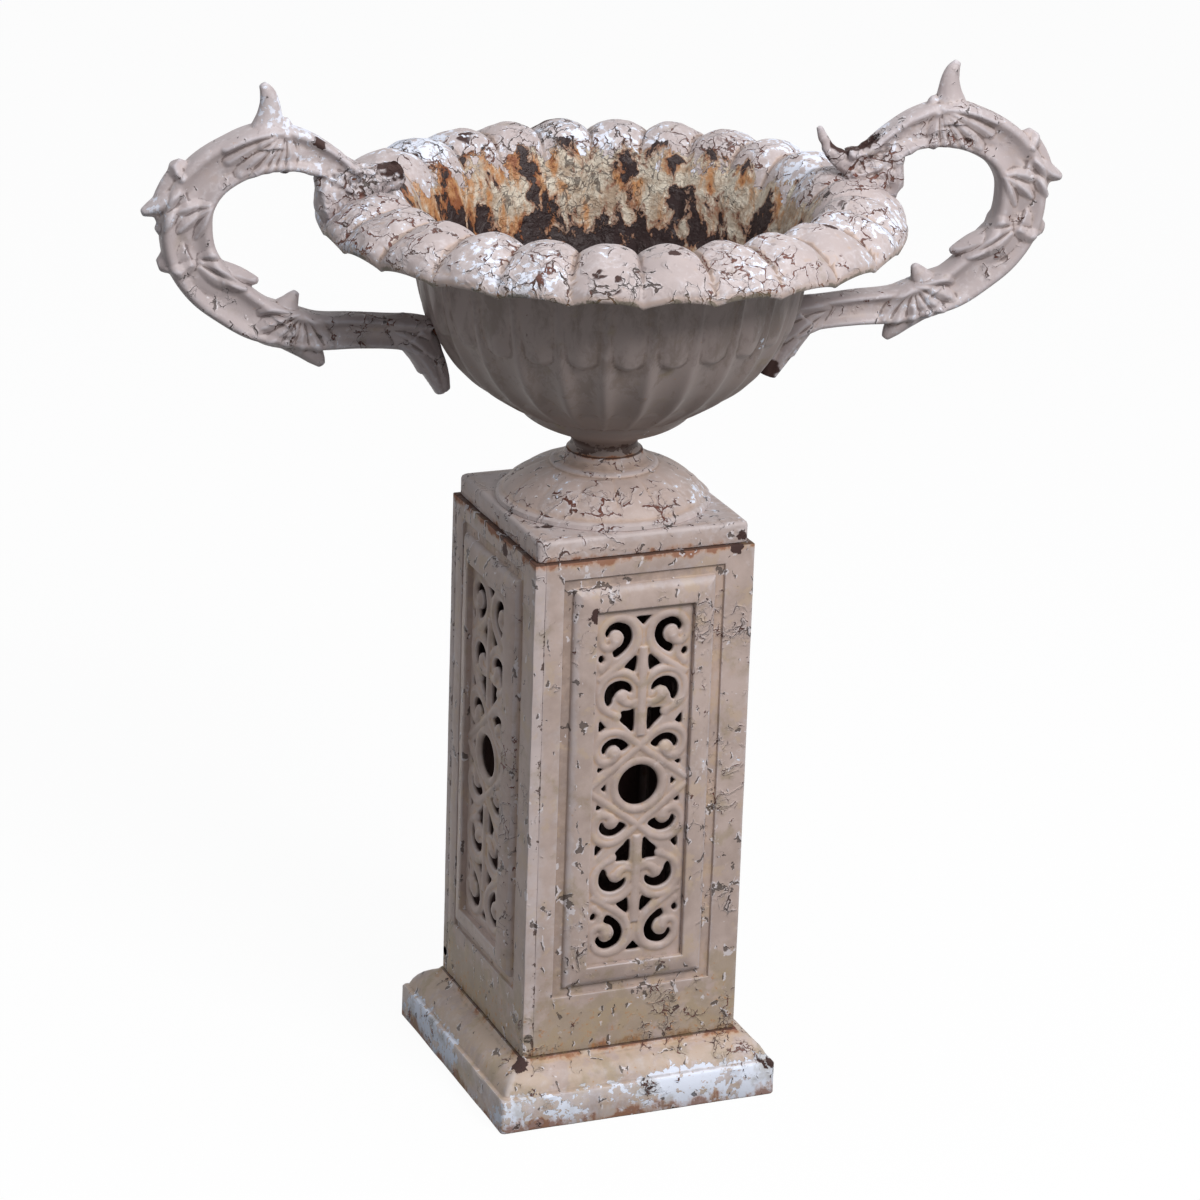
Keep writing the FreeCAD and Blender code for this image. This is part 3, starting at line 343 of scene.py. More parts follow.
# %% Group: rubbed patches
def rubbed_patches(given):
    ragged = cloud(shifted(given["Position"], 90.0, 0.008), given["Grain"])
    both = cloud(given["Position"], 11.0, 2.0, 0.5) * 0.55 + ragged * 0.45
    limit = 0.70 - given["Amount"] * 0.30
    return soft_step(both, limit, limit + 0.008), soft_step(both, limit - 0.10, limit + 0.03)


RUBBED = make_group("rubbed patches", {"Amount": 0.3, "Grain": 170.0}, ("Mask", "Haze"), rubbed_patches)

# %% [markdown]
# Rust: orange-brown stains creep out of seams and cracks and run down in streaks. The group mixes a blotchy
# cloud with a streaky one, stretched along Z. "Level" and "Reach" name a seam's height and how far its
# stain creeps from it, "Pull" says how strongly, and "Amount" sets how much there is elsewhere.

# %% Group: rust stain
def rust_stain(given):
    distance = abs(height_of(given["Position"]) - given["Level"])
    near_seam = soft_step(distance, given["Reach"], 0.0)
    blotches = cloud(shifted(given["Position"], 40.0, 0.01), 55.0, 6.0, 0.65)
    streaks = cloud(given["Position"], 70.0, 5.0, 0.6, (1.0, 1.0, 0.16))
    mixed = blotches * 0.62 + streaks * 0.38
    limit = 0.74 - (near_seam * given["Pull"] + given["Amount"] * 0.2)
    core = limit + 0.07
    thin = 0.0002 + streaks * 0.0011
    return (soft_step(mixed, limit, limit + 0.12), soft_step(mixed, core, core + 0.06),
            soft_step(distance, thin, thin * 0.5))


RUST = make_group("rust stain", {"Amount": 0.2, "Level": -1.0, "Reach": 0.01, "Pull": 0.275},
                  ("Stain", "Core", "Joint"), rust_stain)

# %% [markdown]
# Hollows and edges: dirt gathers where the surface is hollow, and the dark mixed in there is partly painted
# shade; paint thins where it is sharp. Cycles knows this as pointiness, 0.5 on a flat surface. The group
# turns it into three masks and breaks them up with noise: deep hollows, sharp edges, and the shallow places
# where silt stays.

# %% Group: hollows and edges
def hollows_and_edges(given):
    ragged = (cloud(given["Position"], 110.0, 5.0, 0.6) - MIDDLE) * 0.05
    value = given["Pointiness"] + ragged
    return (soft_step(value, 0.488, 0.5 - given["Spread"]), soft_step(value, 0.512, 0.5 + given["Spread"]),
            soft_step(value, 0.500, 0.484))


HOLLOWS = make_group("hollows and edges", {"Pointiness": 0.5, "Spread": 0.03}, ("Hollow", "Edge", "Silt"),
                     hollows_and_edges)

# %% [markdown]
# Brushed surface: under the cracks the paint keeps the texture of the cast iron and of many brushings. This
# group gives a soft, uneven height and a slow change of tone.

# %% Group: brushed surface
def brushed_surface(given):
    position = given["Position"]
    runs = cloud(position, 260.0, 3.0, 0.6, (1.0, 1.0, 0.3))
    height = cloud(position, 85.0) * 0.62 + cloud(position, 700.0, 3.0, 0.6) * 0.16 + runs * 0.30
    tone = cloud(position, 9.0) * 0.6 + cloud(position, 60.0, 5.0, 0.6) * 0.4
    return height, tone


BRUSHED = make_group("brushed surface", {}, ("Height", "Tone"), brushed_surface)

# %% [markdown]
# Curled flakes: on the tall plates the paint has split upright and the split's edge has curled away. A few
# stretches of a Voronoi pattern's walls, drawn out along Z, open into dark slits, partly the open split and
# partly a painted shadow under the curl, with a pale curled lip beside them that is a painted highlight.

# %% Group: curled flakes
def curled_flakes(given):
    bent = shifted(shifted(given["Position"], 60.0, 0.012), 190.0, 0.005)
    limit = 0.72 - given["Amount"] * 0.3
    opened = soft_step(cloud(given["Position"], 88.0, 3.0), limit, limit + 0.12)

    def slit(place, wide):
        gap = plate_walls(vector_maths("MULTIPLY", place, (1.0, 1.0, 0.32)), given["Size"])
        width = opened * wide
        return soft_step(gap, width, width * 0.55) * soft_step(opened, 0.02, 0.1)

    dark = slit(bent, 0.0011)
    beside = vector_maths("ADD", bent, (-0.0011, -0.0011, 0.0009))
    return dark, slit(beside, 0.0019) * (1.0 - dark)


FLAKES = make_group("curled flakes", {"Amount": 0.3, "Size": 0.02}, ("Slit", "Lip"), curled_flakes)

# %% [markdown]
# The top coat is a warm taupe over a cold, chalky white. Stains go from tan over orange to brown, and the
# bare iron under everything is nearly black. A darker taupe, the grime and the bare iron also serve as
# painted shade, and the pale haze as a painted highlight.

# %% Colours of the paint
TAUPE = srgb(193, 174, 166)
TAUPE_DEEP = srgb(168, 149, 140)
CHALK = srgb(231, 237, 251)
COOL = srgb(178, 167, 168)
# darker taupe: painted shade where a casting is sheltered
SHELTERED_AND_SHADED = srgb(166, 151, 146)
# grime, used also as painted shade where a casting is sheltered, deepest low on the bowl
GRIME_AND_SHADE = srgb(116, 102, 94)
OCHRE = srgb(190, 148, 100)
TAN = srgb(188, 166, 144)
# pale haze of chalky paint, also a painted highlight on curled edges
HAZE_AND_HIGHLIGHT = srgb(217, 211, 214)
STAIN = srgb(176, 124, 80)
RUST_CORE = srgb(126, 68, 36)
JOINT_BROWN = srgb(62, 38, 28)
# bare iron, also the painted shade in hollows and in a few stored places
BARE_IRON_AND_SHADE = srgb(58, 36, 32)
CRACK_DARK = srgb(58, 48, 44)
CRACK_RED = srgb(104, 60, 48)
MOSS = srgb(138, 122, 84)


# %% [markdown]
# Some masks need no group, because only the painted iron uses them: smudges of grime with painted shade low
# on the bowl, dried mud, moss, and places where the paint has come off, some of which are painted shade.
# Most of them depend on the height above the ground.

# %% Masks of the painted iron
def own_place(tree):
    """The object's own coordinates."""
    return Field(add_node(tree, "ShaderNodeTexCoord").outputs["Object"])


def stored(tree, label):
    """Value stored on the mesh under a label; 0 where a mesh has none."""
    return Field(add_node(tree, "ShaderNodeAttribute", attribute_name=label).outputs["Fac"])


def feed(shader, colour, height, roughness, strength, depth):
    """Links a colour, a height for the bumps, and a roughness to a shader."""
    bump = field_node("ShaderNodeBump", {"Height": height, "Strength": strength, "Distance": depth})
    for label, field in (("Base Color", colour), ("Normal", bump), ("Roughness", roughness)):
        colour.tree.links.new(field.socket, shader.inputs[label])


def grime_and_shade_mask(position, level):
    """Smudges of grime, and painted shade that deepens towards the bottom of the bowl."""
    smudges = cloud(shifted(position, 30.0, 0.02), 42.0, 7.0, 0.7, (1.0, 1.0, 0.4))
    return soft_step(smudges, 0.42, 0.62) * 0.66 | soft_step(level, 0.680, 0.590) * 0.58


def mud_mask(position, level):
    """Blots of dried mud, more of them near the ground."""
    blots = cloud(shifted(position, 70.0, 0.01), 42.0, 6.0, 0.65)
    return soft_step(blots + soft_step(level, 0.120, 0.030) * 0.10, 0.54, 0.62)


def damp_masks(position, level, moss, splash):
    """Moss and its rusty specks; splash brings more of both near the ground."""
    low = soft_step(level, 0.150, 0.060) * splash
    damp = cloud(position, 38.0, 5.0, 0.6) + low * 0.26
    specks = cloud(position, 170.0, 5.0, 0.7) + low * 0.10
    return soft_step(damp, 0.62 - 0.2 * moss, 0.78 - 0.2 * moss), soft_step(specks, 0.66, 0.74)


def bare_and_shaded_mask(position, ragged, lost):
    """Places without paint, among which a few stored ones are painted shade: those stored on the mesh, and
    the listed ones with a ragged outline.
    """
    bare = stored(position.tree, "bare")
    for x, y, z, radius in lost:
        away = vector_maths("DISTANCE", position, (x * MM, y * MM, z * MM), "Value") + ragged * 0.018
        bare = bare | soft_step(away, radius * MM, 0.88 * radius * MM)
    return bare


def largest(masks):
    """Largest of several masks."""
    result = masks[0]
    for mask in masks[1:]:
        result = result | mask
    return result


# %% [markdown]
# One function lays the coats in the order in which they lie on the iron: taupe paint with its slow change of
# tone, chalky haze with painted highlights on curled edges, painted shade of darker taupe and grime where a
# casting is sheltered, white patches and stains, moss, silt, dirt and painted shade in hollows, cracks, and
# last the chips that show dark bare iron. Values stored on the meshes say where a casting is sheltered from
# rain and takes painted shade, cracked, close to a joint, or bare.

# %% Painted iron
def painted_iron(name, plate=0.015, width=0.0007, cracks=0.5, chips=0.1, white=0.3, rust=0.2, seams=(),
                 edge_white=0.2, moss=0.0, hollow_dirt_and_shade=0.5, flakes=0.0, white_top=None, splash=0.0, cool=0.0,
                 silting=0.5, chalkiness=1.0, grain=170.0, lost=()):
    """Old crackled paint on cast iron, with painted shade in hollows and shielded places and painted
    highlights on curled edges. seams are (height, reach, pull) of rusty joints, lost are (x, y, z, radius)
    in millimetres of single places where the paint has come off."""
    material, tree, shader = new_material(name)
    position = own_place(tree)
    level = height_of(position)
    shelter_and_shade = stored(tree, "sheltered_and_shaded")
    open_air = 1.0 - shelter_and_shade * 0.85
    cracking = open_air * (cracks + stored(tree, "cracked") * 0.30)

    brushed = use_group(BRUSHED, position)
    crazed = use_group(CRAZED, position, Plate_size=plate, Crack_width=width, Amount=cracking, Chips=chips)
    fine = use_group(CRAZED, position, Plate_size=plate * 0.42, Crack_width=width * 0.5,
                     Amount=cracking * 0.6, Chips=0.0)
    pointiness = Field(add_node(tree, "ShaderNodeNewGeometry").outputs["Pointiness"])
    shape = use_group(HOLLOWS, position, Pointiness=pointiness)
    rubbing = open_air * white
    if white_top:
        rubbing = rubbing * soft_step(level, white_top + 0.012, white_top - 0.008)
    rubbed = use_group(RUBBED, position, Amount=rubbing, Grain=grain)
    stains = [use_group(RUST, position, Amount=rust)]
    stains += [use_group(RUST, position, Amount=rust, Level=seam, Reach=reach, Pull=pull)
               for seam, reach, pull in seams]
    stain = largest([s["Stain"] for s in stains])

    # The lip beside each crack is a painted highlight on the curled edge.
    lip_highlights = crazed["Lip"] | fine["Lip"] * 0.5
    white_mask = rubbed["Mask"] | shape["Edge"] * edge_white * open_air
    # The pale lips beside cracks are painted highlights; the sheltered taupe and the grime are painted shade,
    # the grime also dirt.
    coats = [(cool, COOL), (rubbed["Haze"] * 0.45, HAZE_AND_HIGHLIGHT), (lip_highlights * 0.35, HAZE_AND_HIGHLIGHT),
             (shelter_and_shade * 0.8, SHELTERED_AND_SHADED), (shelter_and_shade * grime_and_shade_mask(position, level), GRIME_AND_SHADE)]
    if splash:
        coats.append((mud_mask(position, level) * 0.6, TAN))
    coats += [(white_mask * chalkiness, CHALK), (stain * 0.55, STAIN),
              (largest([s["Core"] for s in stains]) * 0.62, RUST_CORE)]
    if seams:
        coats.append((largest([s["Joint"] for s in stains[1:]]) * 0.85, JOINT_BROWN))
    if moss:
        damp, specks = damp_masks(position, level, moss, splash)
        coats += [(damp * 0.42, MOSS), (specks * 0.7, STAIN)]
    silt = shape["Silt"] * soft_step(brushed["Tone"], 0.40, 0.56) * open_air
    split = crazed["Crack"] | fine["Crack"] * 0.5
    inside_crack = blend_colours(soft_step(brushed["Tone"], 0.42, 0.6), CRACK_DARK, CRACK_RED)
    near_joint = stored(tree, "gap")
    ragged = cloud(position, 90.0, 5.0, 0.65) - MIDDLE
    dirty = soft_step(near_joint + ragged * 2.6, 0.60, 0.68) * soft_step(near_joint, 0.02, 0.2)
    # Deep hollows take dirt and painted shade in the colour of bare iron.
    coats += [(silt * silting, OCHRE), (shape["Hollow"] * hollow_dirt_and_shade, BARE_IRON_AND_SHADE), (split, inside_crack),
              (dirty * 0.9, JOINT_BROWN)]
    slit = 0.0
    if flakes:
        curled = use_group(FLAKES, position, Amount=flakes, Size=0.021)
        slit = curled["Slit"]
        # The curled lip is a painted highlight, and the slit is the open split with painted shadow in it.
        coats += [(curled["Lip"] * 0.75, HAZE_AND_HIGHLIGHT), (slit * 0.8, CRACK_DARK)]
    # The stored bare places include painted shade inside the pedestal and under a leaf tip.
    chip = crazed["Chip"] | bare_and_shaded_mask(position, ragged, lost)
    coats.append((chip, BARE_IRON_AND_SHADE))

    colour = blend_colours(soft_step(brushed["Tone"], 0.35, 0.65), TAUPE_DEEP, TAUPE)
    for mask, paint in coats:
        colour = blend_colours(mask, colour, paint)
    height = (brushed["Height"] * 0.42 + crazed["Lift"] * 0.55 - split * 0.9 - crazed["Chip"] * 0.9
              - rubbed["Mask"] * 0.30 - slit)
    feed(shader, colour, height, 0.54 + (stain | chip | white_mask) * 0.3, 0.85, 0.0011)
    return material


# %% [markdown]
# Each casting asks for its own amounts. The panels have upright curled flakes, the base has worn through to
# white, the foot is more crazed, and the handles are cooler in tone. A seam is a height, a reach and a pull,
# with the lengths in metres, and a lost place is given in millimetres.

# %% Paints of the castings
panel_paint = painted_iron(
    "paint on the panels", plate=0.013, width=0.0005, cracks=0.42, chips=0.03, white=0.08, rust=0.14,
    seams=((0.053, 0.020, 0.275), (0.484, 0.014, 0.34)), moss=0.30, edge_white=0.15, hollow_dirt_and_shade=0.25, flakes=0.62,
    splash=1.0, silting=0.22, lost=((-44.4, -100.5, 438, 6.5), (78.5, -95, 483, 5.5), (-95, -27, 474.6, 5.5)))
grille_paint = painted_iron(
    "paint on the grilles", plate=0.010, width=0.0005, cracks=0.14, chips=0.03, white=0.03, rust=0.14,
    edge_white=0.12, moss=0.32, hollow_dirt_and_shade=0.35, splash=1.0, silting=0.4)
base_paint = painted_iron(
    "paint on the base", plate=0.014, cracks=0.40, chips=0.16, white=0.76, rust=0.30,
    seams=((0.0, 0.026, 0.275), (0.053, 0.010, 0.275)), moss=0.2, hollow_dirt_and_shade=0.3, flakes=0.5, white_top=0.034,
    splash=0.4, silting=0.25, grain=150.0, lost=((-99, -99, 50, 8.5), (120, -119, 28, 5.5)))
foot_paint = painted_iron(
    "paint on the foot", plate=0.017, width=0.0008, cracks=0.58, chips=0.12, white=0.16, rust=0.20,
    seams=((0.484, 0.014, 0.25), (0.545, 0.006, 0.275)), edge_white=0.14, hollow_dirt_and_shade=0.25, flakes=0.45, cool=0.1,
    silting=0.2, lost=((86, -91, 490, 3.5), (-90, 90, 487, 4)))
handle_paint = painted_iron(
    "paint on the handles", cracks=0.44, chips=0.08, white=0.32, rust=0.16, edge_white=0.22, moss=0.12,
    hollow_dirt_and_shade=0.62, flakes=0.4, cool=0.85, silting=0.12, chalkiness=0.65)

# %% [markdown]
# The bowl needs two finishes in one casting. Outside and on the rolled rim it has the same crazed paint.
# Inside, rain and soil have left a rough cream crust with orange streaks, and at the bottom the crust has
# gone and the iron is nearly black. Values stored on the mesh say how far round the lip a point lies
# ("inside"), how deep down ("depth"), and whether it is on the rim's outer edge ("lip"), where an ochre
# stain and a dark line of lichen and painted shadow run under the roll. Ragged noise breaks up the borders
# between the finishes.

# %% Paint of the bowl
CRUST = srgb(166, 145, 124)
CRUST_PALE = srgb(216, 206, 189)
STREAK = srgb(182, 122, 64)
MAROON = srgb(38, 20, 20)
# dark line along the rim's lower edge: lichen, and painted shadow under the roll
LICHEN_AND_SHADOW = srgb(88, 82, 62)


def crusted_colour(position, ragged, scale):
    """Colour of the crust inside the bowl, and the mask of the bare places in it."""
    left = soft_step(field_node("ShaderNodeSeparateXYZ", {0: position}), 0.06, -0.16)
    streaks = cloud(shifted(position, 50.0, 0.008), 62.0, 6.0, 0.65, (1.0, 1.0, 0.34))
    rusty = streaks + (left * 0.14 - 0.035)
    eaten = ragged + stored(position.tree, "depth") * 0.22
    splits = use_group(CRAZED, position, Plate_size=0.009, Crack_width=0.0007, Amount=0.55, Chips=0.10)
    bare = soft_step(eaten, 0.59, 0.605)
    colour = blend_colours(soft_step(scale, 0.38, 0.62), CRUST, CRUST_PALE)
    for mask, paint in (
        (soft_step(rusty, 0.46, 0.60) * 0.85, STREAK),
        (soft_step(rusty, 0.58, 0.68) * 0.9, RUST_CORE),
        (soft_step(eaten, 0.53, 0.59) * 0.75, RUST_CORE),
        ((splits["Crack"] | splits["Chip"]) * 0.7, MAROON),
        (bare, MAROON),
    ):
        colour = blend_colours(mask, colour, paint)
    return colour, bare


def bowl_finish():
    material = painted_iron(
        "paint on the bowl", plate=0.018, cracks=0.80, chips=0.12, white=0.45, rust=0.26, cool=0.65,
        silting=0.3, seams=((0.545, 0.004, 0.275),), edge_white=0.12, moss=0.05, hollow_dirt_and_shade=0.4, chalkiness=0.82,
        lost=((114.7, -167.6, 767, 6.5), (-31.9, -199.3, 764, 6), (9.5, -27.5, 551, 3.2)))
    tree = material.node_tree
    shader = tree.nodes["Principled BSDF"]
    position = own_place(tree)
    ragged = cloud(shifted(position, 45.0, 0.02), 46.0, 6.0, 0.62, (1.0, 1.0, 0.5))
    scale = cloud(shifted(position, 60.0, 0.01), 75.0, 6.0, 0.68)
    colour, bare = crusted_colour(position, ragged, scale)

    inside = soft_step(stored(tree, "inside") + (ragged - MIDDLE) * 1.1, 0.46, 0.48)
    lip_stain_and_shadow = stored(tree, "lip") + (ragged - MIDDLE) * 1.2
    painted = Field(shader.inputs["Base Color"].links[0].from_socket)
    painted = blend_colours(soft_step(lip_stain_and_shadow, 0.45, 0.9) * 0.2, painted, OCHRE)
    # A dark line of lichen and painted shadow runs along the lower edge of the rim.
    painted = blend_colours(soft_step(lip_stain_and_shadow, 0.95, 1.05) * 0.75, painted, LICHEN_AND_SHADOW)
    tree.links.new(blend_colours(inside, painted, colour).socket, shader.inputs["Base Color"])
    bump = shader.inputs["Normal"].links[0].from_node
    height = Field(bump.inputs["Height"].links[0].from_socket)
    crusty = (scale - bare * 0.5) * inside
    tree.links.new((height + crusty * 3.2).socket, bump.inputs["Height"])
    return material


bowl_paint = bowl_finish()

# %% [markdown]
# Bolts, nuts, washers and screws sit inside and underneath. They are plain steel that has rusted brown, so
# they keep their CAD shapes and only get a rough rusty finish. The corner pins end flush in the panels and
# have been painted over with them.

# %% Rusted steel
def rusted_steel():
    material, tree, shader = new_material("rusted steel")
    position = own_place(tree)
    grain = cloud(position, 260.0, 6.0, 0.65)
    patches = cloud(position, 90.0, 3.0, 0.5)
    colour = blend_colours(soft_step(grain, 0.4, 0.65), srgb(64, 42, 34), srgb(122, 70, 42))
    colour = blend_colours(soft_step(patches, 0.55, 0.7), colour, srgb(44, 34, 32))
    feed(shader, colour, grain, 0.6 + grain * 0.3, 0.6, 0.0006)
    return material


def finish_node(node_name, material):
    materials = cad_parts[node_name].data.materials
    materials.clear()
    materials.append(material)


steel_finish = rusted_steel()
for node_name in ("corner_screws", "base_bolts", "base_washers", "base_nuts", "upper_handle_bolts",
                  "upper_handle_nuts", "lower_handle_bolts", "stem_bolt", "stem_washers", "stem_nut"):
    finish_node(node_name, steel_finish)
finish_node("corner_pins", panel_paint)

# %% [markdown]
# Every casting ends as one mesh object that rides on its body and stands for its CAD node. A form is a pair
# of vertices and faces. Forms with rows of points, such as a turned or a square moulding, are skinned with
# quads between neighbouring loops. Tables give millimetres, so points are scaled as they are made.

# %% Helpers for meshes
def mesh_from(name, form):
    """Mesh from a form; a mesh stays what it is."""
    if isinstance(form, bpy.types.Mesh):
        return form
    mesh = bpy.data.meshes.new(name)
    mesh.from_pydata(form[0], [], form[1])
    return mesh


def opened(mesh, outwards=True):
    """Mesh opened for editing, with its faces turned outwards unless told otherwise."""
    shape = bmesh.new()
    shape.from_mesh(mesh)
    if outwards:
        bmesh.ops.recalc_face_normals(shape, faces=shape.faces)
    return shape


def close(shape, mesh):
    """Writes an edited mesh back."""
    shape.to_mesh(mesh)
    shape.free()
    return mesh


def finished_piece(name, form, body, nodes, material, sharp=35.0):
    """Mesh object at the origin with shading smooth up to an angle, riding on a body."""
    mesh = mesh_from(name, form)
    shape = opened(mesh)
    for face in shape.faces:
        face.smooth = True
    for edge in shape.edges:
        edge.smooth = len(edge.link_faces) == 2 and edge.calc_face_angle(0) < math.radians(sharp)
    close(shape, mesh)
    mesh.materials.clear()
    mesh.materials.append(material)
    piece = link(bpy.data.objects.new(name, mesh))
    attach(piece, body)
    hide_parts(*nodes)
    print(name, len(mesh.vertices), "points")
    return piece


def store(piece, label, values):
    """Keeps one value for each point on a piece, where its paint can read it."""
    piece.data.attributes.new(label, "FLOAT", "POINT").data.foreach_set("value", values)


def skin(loops, closed_rows=True):
    """Quads between loops of equal length; with closed_rows the last loop joins the first."""
    count = len(loops[0])
    faces = []
    for row in range(len(loops) if closed_rows else len(loops) - 1):
        here, after = row * count, (row + 1) % len(loops) * count
        for side in range(count):
            nearby = (side + 1) % count
            faces.append((here + side, here + nearby, after + nearby, after + side))
    return [point for loop in loops for point in loop], faces


def capped(loops):
    """Skin between loops with a face over each end."""
    vertices, faces = skin(loops, closed_rows=False)
    sides = len(loops[0])
    ends = [tuple(reversed(range(sides))), tuple(range(len(vertices) - sides, len(vertices)))]
    return vertices, faces + ends


# %% [markdown]
# Outlines and middle lines are given by a few points and made smooth in between. A share runs from 0 to 1
# and fades one shape into another.

# %% Helpers for lines and shares
def smooth_row(points, position):
    """Catmull-Rom value at a position counted in points, for tuples of any length."""
    index = min(int(position), len(points) - 2)
    share = position - index
    p0, p1 = points[max(index - 1, 0)], points[index]
    p2, p3 = points[index + 1], points[min(index + 2, len(points) - 1)]
    return tuple(
        0.5 * (2 * b + (c - a) * share + (2 * a - 5 * b + 4 * c - d) * share ** 2
               + (3 * b - a - 3 * c + d) * share ** 3)
        for a, b, c, d in zip(p0, p1, p2, p3)
    )


def smooth_points(points, steps):
    """Points of a smooth line through the given ones."""
    total = len(points) - 1
    return [Vector(smooth_row([tuple(p) for p in points], total * step / steps)) for step in range(steps + 1)]


def directions(centres):
    """Unit vector along a line at each of its points."""
    return [(after - before).normalized()
            for before, after in zip(centres[:1] + centres, centres[1:] + centres[-1:])]


def round_angles(count):
    """Angles of points spread evenly round a circle."""
    return [2 * math.pi * step / count for step in range(count)]


def straight_share(value, start, end):
    """0 up to start, 1 from end on, straight between."""
    return max(0.0, min(1.0, (value - start) / (end - start)))


def smooth_share(value, start, end):
    """Like straight_share, but easing in and out."""
    share = straight_share(value, start, end)
    return share * share * (3 - 2 * share)


# %% [markdown]
# The base is a square moulding: a plain fillet, a small step, a rounded slope and a little cove under the
# panels, open underneath. Each level is a square with softened corners, and the sides are split finely
# enough to carry the small dents that a century of knocks leaves in thick paint.

# %% Base casting
BASE_LEVELS = (
    # half the width, height
    (113.5, 0), (122, 0), (122.5, 1), (122.5, 14), (122.5, 27.5), (121.6, 28.8), (119.4, 29.4),
    (118.2, 30.4), (117.8, 31.8), (116, 36), (113.2, 40.2), (109.2, 44.2), (104.4, 47.2), (100, 49),
    (98.6, 50.4), (97.4, 52.2), (96.4, 53), (80, 53), (62.5, 53), (62, 52.5), (62, 45.5), (62.5, 45),
    (80, 45), (90.5, 44.5), (95, 36), (104, 20), (113, 1),
)
CORNER_STEPS = 4
SIDE_STEPS = 40


def rounded_square(half, corner, height):
    """Loop of points round a square with softened corners."""
    points = []
    straight = half - corner
    for quarter in range(4):
        turn = Matrix.Rotation(math.radians(90 * quarter), 3, "Z")
        side = [(half, -straight + 2 * straight * step / SIDE_STEPS) for step in range(SIDE_STEPS)]
        bend = [math.radians(90 * step / CORNER_STEPS) for step in range(CORNER_STEPS)]
        side += [(straight + corner * math.cos(a), straight + corner * math.sin(a)) for a in bend]
        points += [turn @ Vector((x, y, height)) for x, y in side]
    return [point * MM for point in points]


def dented(form, depth, spread):
    """Form with its points moved a little in and out by smooth noise."""
    moved = []
    for point in form[0]:
        outward = Vector((point.x, point.y, 0)).normalized()
        moved.append(point + outward * (noise.noise(point * spread) * depth))
    return moved, form[1]


base_loops = [rounded_square(half, min(3.5, half / 8), height) for half, height in BASE_LEVELS]
base_form = dented(skin(base_loops), 0.0005, 38.0)
finished_piece("base_casting", base_form, "pedestal", ["pedestal_base"], base_paint)

# %% [markdown]
# The panels are four copies of one casting. Each is a plate with a sunk flat and a sloping frame that rises
# to the window, hollow behind. It is skinned between rectangular loops, and the bevel rounds its edges as
# thick paint does. The edges at the joints are rounded less, so the panels meet in a thin line.

# %% Panel plates
PANEL_LOOPS = (
    # left, right, low, high, depth of each loop, from the back's rim over the front into the window
    (-86, 95, 53, 484, -86), (-86, 95, 53, 484, -95), (-70, 70, 103, 469, -95),
    (-69.4, 69.4, 103.6, 468.4, -92.6), (-61.8, 61.8, 111.2, 460.8, -92.6),
    (-61.2, 61.2, 111.8, 460.2, -95.2), (-59.4, 59.4, 113.6, 458.4, -97.3),
    (-56.4, 56.4, 116.6, 455.4, -98.9), (-52.4, 52.4, 120.4, 451.2, -100),
    (-47.6, 47.6, 125, 446.2, -100.8), (-43.6, 43.6, 128.6, 441.6, -101.3),
    (-42.5, 42.5, 129.5, 440.5, -100.6), (-42.5, 42.5, 129.5, 440.5, -93),
    (-42.5, 42.5, 129.5, 440.5, -86.5), (-47, 47, 125, 445, -91.5), (-58, 58, 114, 456, -86),
)
GRID = 8  # spacing of the cuts that give the plate points to dent
DENT = 0.5
EDGE_ROUNDING, JOINT_ROUNDING_SHARE = 0.0022, 0.35
EDGE_ANGLE = math.radians(38)


def beside_joint(edge):
    """True for the edges that butt against the next panel or lie under the foot."""
    return all(v.co.x < -85.5 * MM for v in edge.verts) or all(v.co.z > 483.5 * MM for v in edge.verts)


def round_edges(shape):
    for at_joint, width in ((True, EDGE_ROUNDING * JOINT_ROUNDING_SHARE), (False, EDGE_ROUNDING)):
        edges = [e for e in shape.edges if e.calc_face_angle(0) > EDGE_ANGLE and beside_joint(e) == at_joint]
        bmesh.ops.bevel(shape, geom=edges, offset=width, segments=3, profile=0.5, affect="EDGES",
                        clamp_overlap=True)


def cut_grid(shape):
    """Cuts the plate every few millimetres across and upwards."""
    for axis, low, high in ((Vector((1, 0, 0)), -86, 95), (Vector((0, 0, 1)), 53, 484)):
        for place in range(low + GRID, high, GRID):
            bmesh.ops.bisect_plane(shape, geom=shape.verts[:] + shape.edges[:] + shape.faces[:],
                                   plane_co=axis * place * MM, plane_no=axis, dist=1e-6)


def panel_plate():
    """Skinned plate of the front panel as a mesh, dented and with rounded edges."""
    loops = [
        [Vector((x, y, z)) * MM for x, z in ((left, low), (right, low), (right, high), (left, high))]
        for left, right, low, high, y in PANEL_LOOPS
    ]
    mesh = mesh_from("plate", skin(loops))
    shape = opened(mesh)
    round_edges(shape)
    cut_grid(shape)
    gap = shape.verts.layers.float.new("gap")
    sheltered_and_shaded = shape.verts.layers.float.new("sheltered_and_shaded")
    for vertex in shape.verts:
        x, y, z = vertex.co / MM
        at_corner = x < -85.6 or (x > 94.0 and y > -87.0)
        vertex[gap] = 0.5 if at_corner and y < -85.0 else 0.0
        # The sunk flat beside the frame takes painted shade through this value, deeper on its left side.
        if -93.5 < y < -92.0 and abs(x) > 60:  # the sunk flat beside the frame
            vertex[sheltered_and_shaded] = 0.4 if x < 0 else 0.1
        vertex.co.y += noise.noise(vertex.co * 30.0) * DENT * MM
    return close(shape, mesh)


plate_mesh = panel_plate()
print("plate", len(plate_mesh.vertices), "points")

# %% [markdown]
# The window holds scroll work, cast flat and a little behind the frame. A filled curve with holes makes the
# pierced plate: every opening is one smooth closed line, drawn once for a quarter of the window and
# mirrored. Rounded bars, the ring and the bulbs are laid over it, and a voxel remesh melts everything into
# one casting, as thick paint does. The tables give places from the window's middle.

